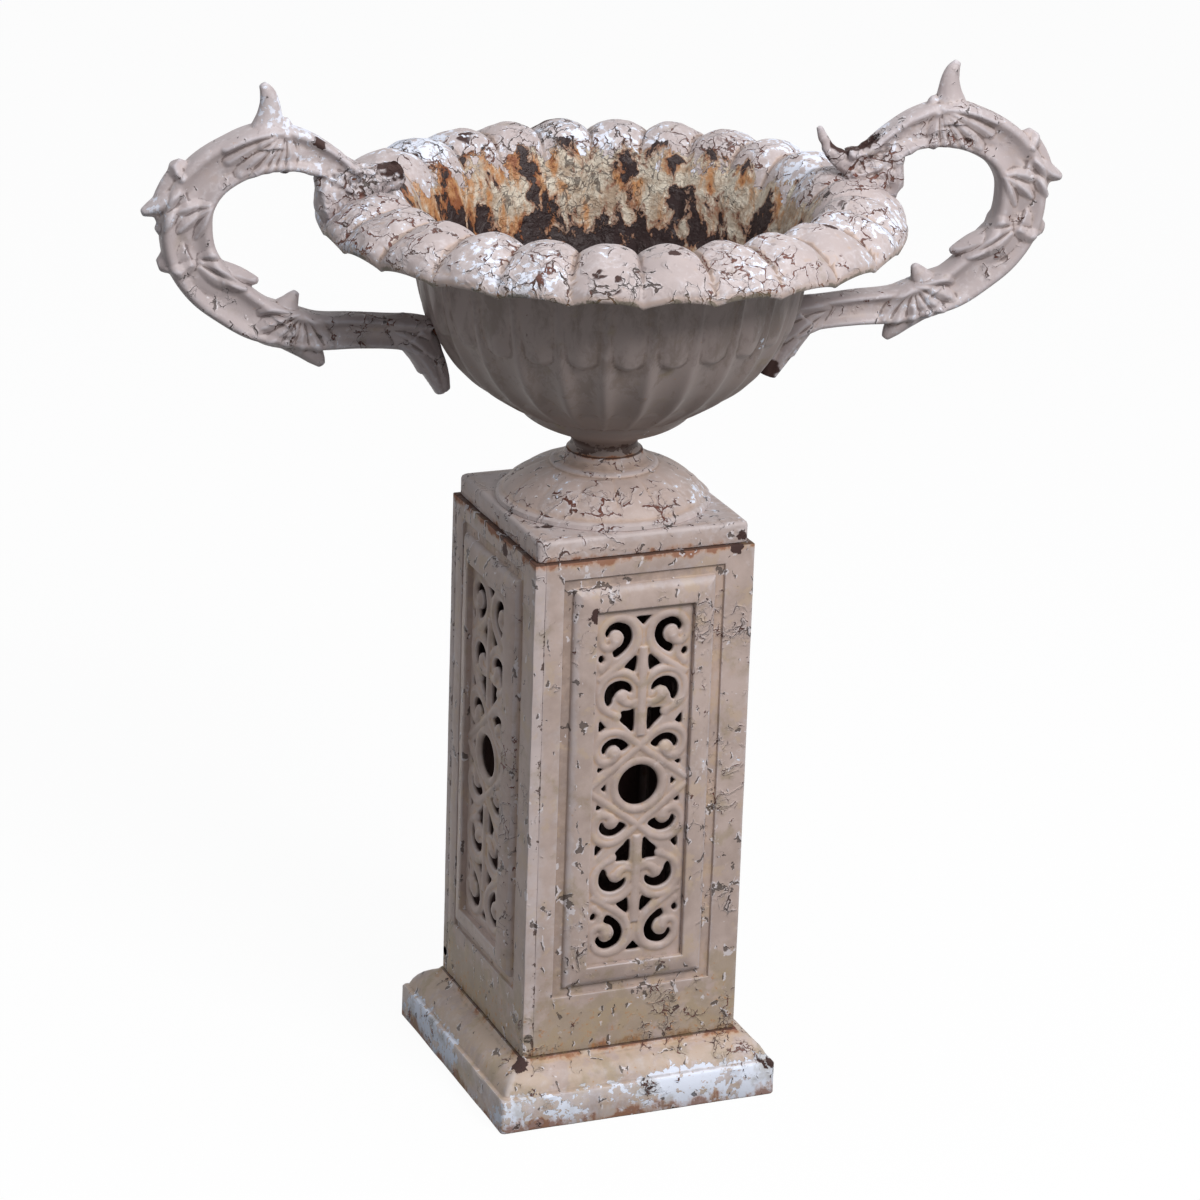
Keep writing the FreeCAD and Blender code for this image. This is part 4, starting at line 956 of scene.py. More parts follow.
# %% Lines of the scroll work
WINDOW_MIDDLE = 285.0
WINDOW_HALF = (43.2, 156.4)
EYE_OUTLINES = (
    ((24, 113), (15, 119), (10.5, 126), (10, 133), (13.5, 140), (22, 143.5), (30, 142.5), (33.3, 138.5),
     (33, 133), (31, 131.5), (29, 135.2), (25.5, 137), (20.5, 135.8), (17.3, 131.5), (17.5, 127),
     (20.5, 122.5), (26.5, 120)),
    ((9, 81), (8.5, 85), (11, 89.5), (17, 92.5), (23, 92.5), (29, 89.5), (32, 84), (32, 77), (29, 71.5),
     (26, 74), (25, 78), (21.5, 82), (17, 85), (12, 83)),
    ((9.5, 35), (14, 40), (20, 42.8), (26, 42.5), (31, 39.5), (33.3, 35), (32.5, 31), (30.5, 29.5),
     (29, 33), (25.5, 36.3), (21, 36.6), (17.5, 34), (15.5, 31)),
)
CHINK_OUTLINES = (
    ((36.5, 13), (36.5, 19), (30.5, 17.5)),
    ((6, 47.5), (12, 52), (18.5, 58.5), (17, 62.5), (18.5, 66), (9, 66.5), (6, 68.5)),
    ((36.5, 49), (36.5, 61), (30, 53)),
    ((6.5, 98.5), (12, 101.5), (17, 103), (5.5, 114)),
    ((33.5, 111.5), (35.5, 109.5), (38.5, 112), (38, 116), (35, 116)),
)
SIDE_CHINK = ((28.5, -4.5), (33, 0), (28.5, 4.5))
TOP_CHINK = ((-7.5, 147), (0, 139), (7.5, 147))
BARS = (
    # radius of the bar, then the points of its middle line
    (4, ((37, 126), (37, 137), (31, 145), (21.5, 147.5), (11, 144), (5.6, 135), (5.2, 126), (9, 117),
     (18, 109), (28, 102), (38, 95))),
    (3.6, ((36, 105), (30.5, 111), (31, 118), (33.5, 125))),
    (4, ((-1, 84), (5, 92), (13, 98.5), (22, 100), (31, 97), (37, 89), (38, 80), (35, 72), (28.5, 66.5),
     (21, 63))),
    (3.6, ((0, 71.5), (7, 70.5), (13, 73), (18, 77))),
    (4, ((-43, 2), (-21, 18.5), (0, 35), (8, 41.5), (15, 46.5), (24, 49), (33, 46.5), (38.5, 40), (39, 32),
     (35, 25), (29, 22.5), (23, 26))),
)
ARMS = (
    # the scrolls' ends, which curl in to the bulbs, with the radius at each point
    ((38, 132, 3.6), (36.5, 126, 4), (32, 122.5, 4.4), (27, 124.5, 5), (24.8, 129, 5.6)),
    ((4, 74, 3.4), (9, 72.5, 4), (14, 74, 4.6), (17.5, 78, 5.2)),
    ((34, 24.5, 3.6), (29, 23.5, 4), (24, 25.5, 4.6), (22.5, 30, 5.4)),
)
BULBS = (
    # place and radius
    (24.8, 129, 7), (17.8, 78.5, 6.6), (21.5, 62.5, 5.2), (22.5, 30, 7), (36, 105, 5),
)
PLATE_FRONT, PLATE_THICKNESS, PLATE_ROUNDING = -95.9, 4.6, 1.2
BAR_DEPTH, ARM_DEPTH, BULB_DEPTH = -93.9, -94.1, -94.2
FLATNESS = 0.8  # depth of a bar's section beside its width
RING_RADIUS, RING_THICKNESS, EYE_RADIUS = 21.6, 4.3, 17.6
POST_HEIGHTS, POST_RADIUS = (44, 80, 121), 4.9


# %% [markdown]
# Bars, bulbs and thorns are all tubes: rings of points along a middle line, thicker or thinner as the radii
# say. The pierced plate is a flat curve with holes that is filled and rounded, and the melting turns
# overlapping forms into one skin.

# %% Helpers for round forms
def tube(centres, radii, depth_share=1.0, across=Vector((0, 1, 0)), sides=12):
    """Closed tapering tube through points, depth_share as deep along "across" as it is wide."""
    if not isinstance(radii, list):
        radii = [radii] * len(centres)
    loops = []
    for centre, along, radius in zip(centres, directions(centres), radii):
        wide = along.cross(across).normalized()
        deep = wide.cross(along).normalized()
        loops.append([centre + (wide * math.cos(a) + deep * math.sin(a) * depth_share) * radius
                      for a in round_angles(sides)])
    return capped(loops)


def ball(centre, radius, depth_share, rings=8, sides=14):
    """Flattened sphere."""
    angles = [math.pi * (ring + 0.02) / (rings + 0.04) for ring in range(rings + 1)]
    centres = [centre + Vector((0, -math.cos(a) * radius * depth_share, 0)) for a in angles]
    return tube(centres, [max(math.sin(a), 0.02) * radius for a in angles], 1.0, Vector((0, 0, 1)), sides)


def closed_line(points, finer=3):
    """Smooth closed line through points, with finer times as many of them."""
    ring = [tuple(p) for p in points]
    ring = ring[-2:] + ring + ring[:3]
    return [Vector(smooth_row(ring, 2 + step / finer)) for step in range(finer * len(points))]


def pierced_plate(outline, openings, front, thickness, rounding):
    """Plate in the XZ plane with openings, its edges rounded, from a filled curve."""
    curve = bpy.data.curves.new("pierced plate", "CURVE")
    curve.dimensions = "2D"
    curve.fill_mode = "BOTH"
    curve.extrude = thickness / 2 - rounding
    curve.bevel_depth = rounding
    curve.bevel_resolution = 2
    curve.offset = -rounding
    for points in [outline] + [closed_line(o) if len(o) > 3 else o for o in openings]:
        spline = curve.splines.new("POLY")
        spline.points.add(len(points) - 1)
        for target, point in zip(spline.points, points):
            target.co = (point[0], point[2], 0, 1)
        spline.use_cyclic_u = True
    holder = bpy.data.objects.new("pierced plate", curve)
    mesh = bpy.data.meshes.new_from_object(holder)
    upright = Matrix.Rotation(math.radians(90), 4, "X")
    mesh.transform(Matrix.Translation((0, front + thickness / 2, 0)) @ upright)
    bpy.data.objects.remove(holder)
    return mesh


def applied(holder):
    """Mesh of an object after its modifiers; the object itself goes."""
    evaluated = holder.evaluated_get(bpy.context.evaluated_depsgraph_get())
    mesh = bpy.data.meshes.new_from_object(evaluated)
    bpy.data.objects.remove(holder)
    return mesh


def melted(parts, voxel, smoothing, name):
    """One closed mesh from overlapping parts, which are forms or meshes."""
    shape = bmesh.new()
    for part in parts:
        if isinstance(part, bpy.types.Mesh):
            shape.from_mesh(part)
            continue
        made = [shape.verts.new(v) for v in part[0]]
        for face in part[1]:
            shape.faces.new([made[i] for i in face])
    bmesh.ops.recalc_face_normals(shape, faces=shape.faces)
    holder = link(bpy.data.objects.new(name, close(shape, bpy.data.meshes.new(name))))
    remesh = holder.modifiers.new("melt", "REMESH")
    remesh.mode = "VOXEL"
    remesh.voxel_size = voxel
    soften = holder.modifiers.new("soften", "SMOOTH")
    soften.factor = 0.5
    soften.iterations = smoothing
    mesh = applied(holder)
    print(name, len(mesh.vertices), "points after melting")
    return mesh


# %% [markdown]
# The scroll work is put together round the window's middle: four quarters that mirror each other, the ring
# with its round opening, and an upright post above and below it.

# %% Scroll work
def window_point(u, v, side=1, way=1, depth=0.0):
    """Point from its place in a quarter of the window; side and way, 1 or -1, mirror it."""
    return Vector((side * u, 0, WINDOW_MIDDLE + way * v)) * MM + Vector((0, depth * MM, 0))


def window_circle(radius, count, depth=0.0):
    angles = round_angles(count)
    return [window_point(radius * math.cos(a), radius * math.sin(a), depth=depth) for a in angles]


def quarter_bars(side, way):
    """Bars, scroll ends and bulbs of one quarter of the window."""
    parts = []
    for radius, line in BARS:
        middle = smooth_points([window_point(u, v, side, way, BAR_DEPTH) for u, v in line], 7 * len(line))
        parts.append(tube(middle, radius * MM, FLATNESS))
    for line in ARMS:
        path = smooth_points(line, 7 * len(line))
        middle = [window_point(u, v, side, way, ARM_DEPTH) for u, v, _ in path]
        parts.append(tube(middle, [radius * MM for _, _, radius in path], FLATNESS))
    return parts + [ball(window_point(u, v, side, way, BULB_DEPTH), 0.94 * radius * MM, 0.56)
                    for u, v, radius in BULBS]


def scroll_work():
    """The front window's grille as one melted casting."""
    openings = []
    parts = []
    for side in (-1, 1):
        openings.append([window_point(u, v, side) for u, v in SIDE_CHINK])
        openings.append([window_point(u, v, 1, side) for u, v in TOP_CHINK])
        for way in (-1, 1):
            openings += [[window_point(u, v, side, way) for u, v in outline]
                         for outline in EYE_OUTLINES + CHINK_OUTLINES]
            parts += quarter_bars(side, way)
    ring = window_circle(RING_RADIUS, 40, BAR_DEPTH)
    parts.append(tube(ring + ring[:1], RING_THICKNESS * MM, FLATNESS))
    for way in (-1, 1):
        post = [window_point(0, v, 1, way, BAR_DEPTH) for v in POST_HEIGHTS]
        parts.append(tube(post, POST_RADIUS * MM, FLATNESS))
    openings.append(window_circle(EYE_RADIUS, 24))
    u, v = WINDOW_HALF
    outline = [window_point(x, z) for x, z in ((-u, -v), (u, -v), (u, v), (-u, v))]
    measures = [value * MM for value in (PLATE_FRONT, PLATE_THICKNESS, PLATE_ROUNDING)]
    parts.append(pierced_plate(outline, openings, *measures))
    return melted(parts, 0.9 * MM, 3, "scroll work")


grille_mesh = scroll_work()

# %% [markdown]
# Plate and scroll work are one casting, so both pieces stand for the same CAD node. The four panels stand
# round the pedestal like the sails of a windmill, each turned a quarter from the last. Their inner side is
# marked as bare iron, partly for the unpainted rusty iron there and partly as painted shade inside the hollow
# pedestal, so the openings look dark.

# %% Four panels
INNER_HALF = 84 * MM  # the inner side ends at the neighbouring panels
panel_parts = (
    # end of the piece's name, mesh, paint, depths between which paint gives way to bare iron and painted
    # shade
    ("_plate", plate_mesh, panel_paint, (-91.8 * MM, -91.0 * MM)),
    ("_scrolls", grille_mesh, grille_paint, (-94.0 * MM, -92.6 * MM)),
)
for quarter, panel_name in enumerate(("front_panel", "right_panel", "back_panel", "left_panel")):
    for ending, source, finish, bare_and_shaded_depths in panel_parts:
        copy = source.copy()
        # The inner side is coloured as bare iron, partly rust and partly painted shade.
        bare_and_shaded = [straight_share(v.co.y, *bare_and_shaded_depths) * (abs(v.co.x) < INNER_HALF) for v in copy.vertices]
        copy.transform(Matrix.Rotation(math.radians(90 * quarter), 4, "Z"))
        store(finished_piece(panel_name + ending, copy, "pedestal", [panel_name], finish), "bare", bare_and_shaded)

# %% [markdown]
# The foot is a square plate with a round moulded stem. The stem is turned from an outline, and its dome
# carries a faint wreath of petals, almost lost under the paint.

# %% Foot casting
FOOT_PLATE = (
    # half the width, height
    (78, 484.2), (89.4, 484.2), (90.6, 484.6), (91, 485.8), (91, 487.8), (91, 498.4), (90.4, 500.4),
    (89, 501.6), (86.4, 502.2), (80, 502.3), (59, 502.3), (59, 498), (76, 497),
)
STEM_LINE = (
    # radius, height, and the height of the petals where there are any
    (70, 500), (87, 501.5), (88, 503), (87.6, 506.2), (85.6, 508), (83.6, 508.8), (82.4, 509.6, 0.2),
    (80.5, 512.2, 0.6), (76.5, 516, 1), (71.5, 519.6, 1.1), (65.5, 523.4, 1.1), (58.5, 527.2, 1),
    (51, 530.8, 0.6), (46.5, 532.2), (44.6, 532.8), (44, 534.4), (42.2, 535.6), (39.4, 536), (36.4, 537),
    (33.8, 539.6), (32.2, 542.4), (31.2, 544.8), (29, 545), (6.4, 545), (6.2, 544.6), (6.2, 532),
    (24, 531.4), (47, 521.8), (70, 503),
)
PETALS = 14
STEM_SIDES = 168


def stem_rows():
    """Loops of the turned stem, whose dome swells with petals."""
    rows = []
    for radius, height, *petal in STEM_LINE:
        swell = petal[0] if petal else 0.0
        row = []
        for angle in round_angles(STEM_SIDES):
            wave = abs(math.sin(angle * PETALS / 2)) ** 0.6
            reach = (radius + swell * (wave - 0.6)) * MM
            rise = height * MM + swell * wave * MM
            row.append(Vector((reach * math.cos(angle), reach * math.sin(angle), rise)))
        rows.append(row)
    return rows


foot_loops = [rounded_square(half, 4.0 if half > 86 else 2.0, height) for half, height in FOOT_PLATE]
plate_points, plate_faces = dented(skin(foot_loops), 0.0004, 40.0)
stem_points, stem_faces = skin(stem_rows())
stem_faces = [tuple(len(plate_points) + i for i in face) for face in stem_faces]
foot_form = (plate_points + stem_points, plate_faces + stem_faces)
finished_piece("foot_casting", foot_form, "urn", ["urn_foot"], foot_paint)

# %% [markdown]
# The bowl is the showpiece: a fluted body under a rolled rim of puffy lobes. It is skinned along one outline
# that runs from the neck up the outside, over the rim and down the inside. Each point of the outline also
# says how strongly the lobes, the ribs and the tongues between the ribs shape the surface there. A row of
# the table may be short; what it leaves out is zero.

# %% Outline of the bowl
BOWL_LINE = (
    # radius, height, lift of the lobes, swell of the body's ribs, inward ridge, share inside
    (31, 545), (29.5, 546.5), (27.6, 549), (27, 552), (29, 555.4), (34, 559), (43, 563.2), (57, 569.4),
    (66, 575), (70, 579), (71.6, 582.4, 0, 0.2), (75, 585, 0, 0.8), (84, 590.6, 0, 1), (105.6, 605, 0, 1),
    (118, 616.4, 0, 1), (126.6, 626, 0, 1), (136, 640, 0, 1), (143.8, 655, 0, 1), (151.4, 675, 0, 1),
    (157.2, 700, 0, 1), (161, 718, 0, 0.8), (169, 734, 1.5, 0.4), (178, 745, 3), (190, 748.6, 5),
    (204, 746, 5), (218, 739.5, 5), (228, 732.8, 5), (232.4, 730.4, 5), (235.4, 731, 5), (236.4, 734, 5),
    (235.6, 738.4, 6), (231, 744, 8), (223, 749.6, 9.5), (212, 754.6, 10.5), (200, 758.2, 10),
    (190, 759.4, 9, 0, 0, 0.05), (182, 758.2, 9, 0, 0, 0.15), (175, 754.6, 8, 0, 0.3, 0.3),
    (168.6, 748.6, 6, 0, 0.7, 0.42), (162.6, 740, 3, 0, 1, 0.52), (157.6, 729, 0, 0, 1, 0.66),
    (153.4, 712, 0, 0, 1, 0.8), (151, 698, 0, 0, 1, 0.9), (145.8, 676, 0, 0, 1, 1),
    (137.4, 655, 0, 0, 1, 1), (120, 627, 0, 0, 0.8, 1), (99, 605.6, 0, 0, 0.5, 1),
    (80, 594.4, 0, 0, 0.2, 1), (62, 586, 0, 0, 0, 1), (40, 575, 0, 0, 0, 1), (20, 565.4, 0, 0, 0, 1),
    (16, 564.2, 0, 0, 0, 1), (6.4, 564.2, 0, 0, 0, 1), (6.2, 563.6, 0, 0, 0, 1), (6.2, 545.4), (6.4, 545),
)
LOBES = 26
LOBE_STEPS = 18
TURN = math.radians(-7.2)  # of the handles, and of the bowl with them
CREASE = math.radians(-2.1)  # from a handle's middle to the nearest crease between lobes
OUTER_STEP, INNER_STEP = 1.7, 4.0
DROP_HEIGHT = 655.0  # where the swells of the body end in drops
ARCH_HEIGHT = 602.0


def bowl_stations():
    """The outline's rows, filled in with smooth steps."""
    rows = [row + (0,) * (6 - len(row)) for row in BOWL_LINE]
    stations = []
    for index, (here, after) in enumerate(zip(rows, rows[1:])):
        step = INNER_STEP if here[5] > 0.6 else OUTER_STEP
        parts = max(1, round(math.hypot(after[0] - here[0], after[1] - here[1]) / step))
        stations += [smooth_row(rows, index + part / parts) for part in range(parts)]
    return stations + [rows[-1]]


# %% [markdown]
# The relief depends on a point's height and on its share of the way from one crease to the next. Ribs run up
# midway between the creases, swells along the creases end in round drops, and below a row of low arches the
# plain bottom stands out.

# %% Relief of the bowl
def body_relief(share, height):
    """Relief of the fluted body in millimetres: soft ribs, swells that end in drops, arches below them."""
    from_crease = min(share, 1 - share)
    lower = 1 - smooth_share(height, 635, 695)
    rib = (0.8 + 3.5 * lower) * math.exp(-((0.5 - from_crease) / (0.10 + 0.08 * lower)) ** 2)
    rib += 1.3 * (1 - lower) * math.exp(-((0.5 - from_crease) / 0.045) ** 2)
    across = math.cos(math.pi / 2 * min(1.0, from_crease / 0.43)) ** 1.5
    bottom = DROP_HEIGHT + 5.0 * (from_crease / 0.3) ** 2
    drop = 4.6 * (1 - smooth_share(height, 658, 705)) * across
    drop *= smooth_share(height, bottom - 1.5, bottom + 2.5)
    arch = ARCH_HEIGHT - 5.0 * (from_crease / 0.5) ** 2
    ledge = 2.2 * (1 - smooth_share(height, arch, arch + 5))
    hollow = 2.2 * lower * (1 - smooth_share(height, 645, 660))
    return max(rib, drop, ledge) - hollow * math.cos(math.pi * min(0.5, from_crease)) ** 2 - 0.2


def bowl_row(radius, height, lift, relief, ridge):
    """One loop of the bowl, shaped by the lobes and the relief."""
    row = []
    for column in range(LOBES * LOBE_STEPS):
        share = (column % LOBE_STEPS) / LOBE_STEPS
        angle = TURN + CREASE + 2 * math.pi * column / (LOBES * LOBE_STEPS)
        arch = math.sin(math.pi * share) ** 0.72  # the lobe's round back, with a tight crease beside it
        reach = radius + relief * body_relief(share, height) - ridge * 2.4 * arch - lift * 0.1 * arch
        if lift > 4.9 and radius > 228:  # the lobes also swell outwards on the rim's edge
            reach += 2.6 * arch - 1.6
        row.append(Vector((reach * math.cos(angle), reach * math.sin(angle), height + lift * arch)) * MM)
    return row


def knocked(point):
    """Point of the bowl moved a little by smooth noise, and more on top of the rim."""
    knock = noise.noise(point * 22.0) * 0.0009
    if point.z > 0.742:
        knock += (noise.noise(point * 55.0) + 0.5 * noise.noise(point * 120.0)) * 0.0012
    return point + (Vector((point.x, point.y, 0)).normalized() + Vector((0, 0, 1))) * knock


# %% [markdown]
# The stations become loops, the loops are skinned, and each point carries what the paint has to know: how
# far inside it lies, how deep, how well the rim shelters it and so how much painted shade it takes, how close
# the neck's joint is, and whether it is on the rim's outer edge.

# %% Bowl casting
def paint_values(radius, height, within):
    """What the paint has to know at one station: inside, depth, shelter with painted shade, gap and lip."""
    level = height if radius < 200 else 760  # all of the rim counts as high up
    lip = smooth_share(radius, 222, 232) * (1 - smooth_share(height, 733, 742))
    if within > 0.4:
        return within, straight_share(height, 735, 625), 0.0, 0.0, lip
    # Outside, the rim shelters the body: fewer cracks and less white there, and painted shade.
    return within, 0.0, 1 - smooth_share(level, 726, 744), max(0.0, 1 - abs(level - 551.5) / 8), lip


stations = bowl_stations()
bowl_points, bowl_faces = skin([bowl_row(*station[:5]) for station in stations])
bowl_form = ([knocked(point) for point in bowl_points], bowl_faces)
bowl = finished_piece("bowl_casting", bowl_form, "urn", ["bowl"], bowl_paint, 75.0)
value_rows = [paint_values(radius, height, within) for radius, height, _, _, _, within in stations]
for label, row_values in zip(("inside", "depth", "sheltered_and_shaded", "gap", "lip"), zip(*value_rows)):
    store(bowl, label, [value for value in row_values for _ in range(LOBES * LOBE_STEPS)])

# %% [markdown]
# The handles are scrolls of a thorny vine, channelled on both faces, with clusters of leaves where the
# thorns grow. A swept section makes the scroll, tapering tubes make thorns, leaf blades and knuckles, and a
# voxel remesh melts them into one casting. The tables are drawn in the plane of the right handle: the first
# number of a point is its distance from the axis, the second its height, the third a radius or a thickness.

# %% Lines of the handles
HANDLE_PATH = (
    # distance from the axis, height, thickness of the scroll
    (196, 776, 22), (210, 778, 22), (220, 784, 22), (235, 794, 26), (256, 803, 33), (280, 806, 38),
    (305, 799, 37), (328, 785, 38), (342, 765, 40), (345, 743, 41), (341, 720, 41), (328, 699, 40),
    (310, 683, 38), (288, 668, 35), (262, 660, 32), (240, 655, 29), (210, 654, 27), (182, 652, 26),
    (164, 650, 28), (150, 646, 30),
)
HANDLE_WIDTH = 25.5
SECTION = (
    # half of the scroll's section: shares of half the thickness and of half the width
    (1.0, 0), (1.0, 0.5), (0.93, 0.82), (0.80, 0.98), (0.68, 0.98), (0.54, 0.84), (0.36, 0.66), (0.15, 0.58),
)
THORNS = (
    # points of each thorn with the radius there
    ((280, 808, 18), (280, 820, 15), (279, 832, 10.5), (279, 842, 8), (281, 850, 6.2), (285, 857, 3)),
    ((272, 818, 9), (265, 824, 6.5), (262, 826, 3.5)),
    ((346, 770, 15), (356, 766, 12), (366, 762, 9), (374, 759, 6), (380, 757, 3)),
    ((344, 784, 13), (350, 791, 9.5), (354, 797, 5.2)),
    ((350, 772, 12), (359, 775, 8.5), (366, 778, 4.2)),
    ((352, 752, 11), (362, 745, 7.5), (368, 741, 3.6)),
    ((344, 724, 16), (353, 720, 13), (361, 716, 9.5), (367, 714, 5)),
    ((345, 706, 9), (352, 703, 6.5), (354, 702, 3.6)),
    ((318, 703, 14), (306, 702, 10), (296, 700, 6.5), (287, 698, 2.8)),
    ((270, 666, 15), (264, 676, 10), (259, 684, 5.5), (256, 688, 2.8)),
    ((258, 652, 15), (248, 642, 11), (240, 633, 7.5), (235, 626, 3.2)),
    ((170, 652, 12), (171, 662, 6.5), (172, 666, 3.5)),
    ((163, 650, 15), (154, 637, 14), (146, 624, 12), (140, 611, 9.5), (136, 599, 6.5)),
    ((226, 786, 14), (229, 772, 14.5), (230, 758, 13), (225, 744, 9)),
    ((208, 776, 13), (211, 764, 12), (208, 750, 9)),
    ((268, 797, 9), (267, 790, 6.5), (266, 785, 3.6)),
    ((279, 796, 9), (278, 791, 6.5), (277, 787, 3.6)),
    ((290, 795, 10), (292, 789, 7), (293, 784, 3.6)),
    ((304, 792, 9), (306, 787, 6), (307, 783, 3.4)),
)
PADS = (
    # cushions that fill the channel under the leaf clusters
    ((246, 796, 12), (266, 804, 16), (288, 803, 17.5), (308, 795, 15.5), (322, 787, 11)),
    ((336, 777, 11), (345, 763, 16), (348, 747, 16), (344, 733, 12)),
    ((349, 788, 10), (357, 776, 10), (361, 762, 11), (358, 748, 9)),
    ((345, 728, 12), (338, 712, 16), (324, 700, 16), (308, 690, 11)),
    ((298, 669, 11), (278, 660, 15.5), (259, 656, 15.5), (243, 652, 11)),
    ((188, 654, 10), (169, 652, 14), (155, 640, 15), (146, 620, 12)),
    ((214, 782, 12), (222, 770, 15), (222, 758, 15), (216, 746, 13)),
    ((200, 772, 14), (206, 764, 18), (206, 754, 17), (200, 748, 12)),
)
LEAVES = (
    # ribs of the leaves on both faces: points from base to tip with the rib's radius
    ((271, 820, 2.4), (285, 819, 4.6), (300, 815, 5), (315, 808, 3)),
    ((271, 819, 2.4), (285, 814, 4.6), (299, 807, 5), (313, 798, 3)),
    ((271, 818, 2.4), (282, 809, 4.4), (293, 799, 4.8), (304, 789, 3)),
    ((270, 817, 2.4), (278, 806, 4.2), (286, 795, 4.6), (293, 784, 3)),
    ((270, 816, 2.4), (274, 805, 4), (279, 795, 4.4), (284, 784, 2.8)),
    ((268, 816, 2.4), (270, 805, 3.8), (273, 795, 4.2), (275, 785, 2.6)),
    ((267, 816, 2.2), (265, 805, 3.8), (265, 795, 3.8), (266, 785, 2.4)),
    ((329, 764, 2), (338, 764, 3.2), (347, 762, 3.4), (355, 759, 2)),
    ((329, 761, 2), (337, 756, 3.2), (345, 750, 3.4), (351, 744, 2)),
    ((327, 761, 1.8), (331, 753, 2.8), (335, 745, 2.8), (338, 738, 1.6)),
    ((352, 774, 2.6), (360, 769, 4), (368, 763, 3.8), (377, 758, 2.2)),
    ((350, 786, 2.6), (354, 791, 3.8), (356, 798, 2.4)),
    ((354, 760, 2.2), (361, 752, 3.6), (367, 743, 2.2)),
    ((334, 718, 2.4), (322, 713, 4.4), (308, 707, 4.6), (292, 700, 2.4)),
    ((335, 714, 2.4), (323, 705, 4.4), (311, 699, 4.2), (300, 696, 2.2)),
    ((334, 722, 2.2), (326, 724, 3.4), (318, 723, 3), (312, 718, 1.8)),
    ((342, 716, 3), (350, 712, 4.2), (360, 711, 2.6)),
    ((256, 675, 2.2), (266, 677, 4), (276, 678, 4), (286, 675, 2.4)),
    ((256, 673, 2.4), (267, 670, 4.4), (278, 666, 4.6), (288, 661, 2.6)),
    ((256, 671, 2.4), (264, 664, 4.4), (272, 657, 4.6), (280, 650, 2.6)),
    ((255, 670, 2.4), (259, 661, 4.2), (264, 653, 4.4), (269, 645, 2.6)),
    ((254, 670, 2.2), (254, 660, 4), (254, 651, 4.2), (255, 641, 2.4)),
    ((253, 670, 2.2), (248, 661, 4), (244, 652, 4.2), (240, 642, 2.4)),
    ((252, 671, 2.2), (245, 664, 3.8), (238, 656, 4), (230, 647, 2.4)),
    ((182, 656, 2.4), (172, 657, 4.2), (160, 655, 4.2), (149, 649, 2.2)),
    ((181, 654, 2.4), (170, 650, 4.6), (158, 642, 4.6), (147, 632, 2.2)),
    ((180, 652, 2.4), (167, 643, 4.8), (154, 627, 5), (142, 607, 2.4)),
    ((178, 650, 2.4), (166, 637, 4.6), (153, 617, 4.6), (138, 597, 2.4)),
    ((236, 780, 3), (238, 766, 4.6), (234, 752, 3)),
)
HOLLOW = ((184, 795, 4), (194, 794, 8), (206, 792, 9.5), (216, 794, 7), (222, 798, 4))
HORN = ((200, 774, 11), (189, 779, 8), (180, 787, 5.8), (174, 797, 4.4), (170, 807, 2.6))
HORN_STUMP = ((206, 772, 15), (194, 775, 13.5), (182, 779, 12), (173, 784, 10.5))
STUMP_HOLE = ((186, 781, 5), (178, 785, 7.5), (168, 791, 8.5), (160, 796, 8.5))
ROOT_SWELLINGS = (
    # place of each swelling, then its points across the root, where the handle broadens into the rim's lobes
    ((219, 768), ((-27, 6), (-18, 11.5), (0, 15.5), (18, 11.5), (27, 6))),
    ((227, 752), ((-24, 5), (-15, 10), (0, 13), (15, 10), (24, 5))),
)
CORE_LINE = (
    # radius and height of a solid a little inside the bowl's surface, which trims the roots
    (0.05, 560), (54, 572), (104, 606), (126, 628), (143, 656), (156, 700), (160, 722), (172, 744),
    (200, 744), (229, 733), (231, 737), (212, 751), (188, 757), (176, 752), (166, 742), (0.05, 742),
)


# %% [markdown]
# The scroll is a section carried along the path. Everything that grows on it is a tube, and two swellings
# across the root blend it into the rim. A solid a little inside the bowl's surface serves to trim the roots.

# %% Handle parts
def swept_scroll():
    """The channelled scroll: soft raised borders and a sunk floor on both faces."""
    outline = list(SECTION) + [(-t, w) for t, w in reversed(SECTION)]
    outline += [(t, -w) for t, w in reversed(outline[1:-1])]
    steps, total = 150, len(HANDLE_PATH) - 1
    path = [smooth_row(HANDLE_PATH, total * step / steps) for step in range(steps + 1)]
    centres = [Vector((x, 0, z)) for x, z, _ in path]
    beside = Vector((0, 1, 0))
    loops = []
    for centre, along, (_, _, thickness) in zip(centres, directions(centres), path):
        across = Vector((along.z, 0, -along.x))
        loops.append([(centre + across * t * (thickness / 2) + beside * w * (HANDLE_WIDTH / 2)) * MM
                      for t, w in outline])
    return capped(loops)


def vine_tube(points, depth_share):
    """Tube through points in the handle's plane."""
    line = smooth_points(points, 6 * len(points))
    middle = [Vector((x, 0, z)) * MM for x, z, _ in line]
    return tube(middle, [max(radius, 0.6) * MM for _, _, radius in line], depth_share)


def root_swelling(x, z, swelling):
    line = smooth_points([(x, y, radius) for y, radius in swelling], 20)
    return tube([Vector((x, y, z)) * MM for _, y, _ in line], [radius * MM for _, _, radius in line])


def bowl_core():
    loops = []
    for radius, height in CORE_LINE:
        reach = radius * MM
        loops.append([Vector((reach * math.cos(a), reach * math.sin(a), height * MM))
                      for a in round_angles(96)])
    return capped(loops)


def trimmed(mesh, cutter_form):
    """Mesh with the cutter's volume taken away."""
    cutter_mesh = mesh_from("cutter", cutter_form)
    cutter = link(bpy.data.objects.new("cutter", close(opened(cutter_mesh), cutter_mesh)))
    holder = link(bpy.data.objects.new("handle", mesh))
    cut = holder.modifiers.new("trim", "BOOLEAN")
    cut.object = cutter
    cut.operation = "DIFFERENCE"
    cut.solver = "EXACT"
    result = applied(holder)
    bpy.data.objects.remove(cutter)
    return result


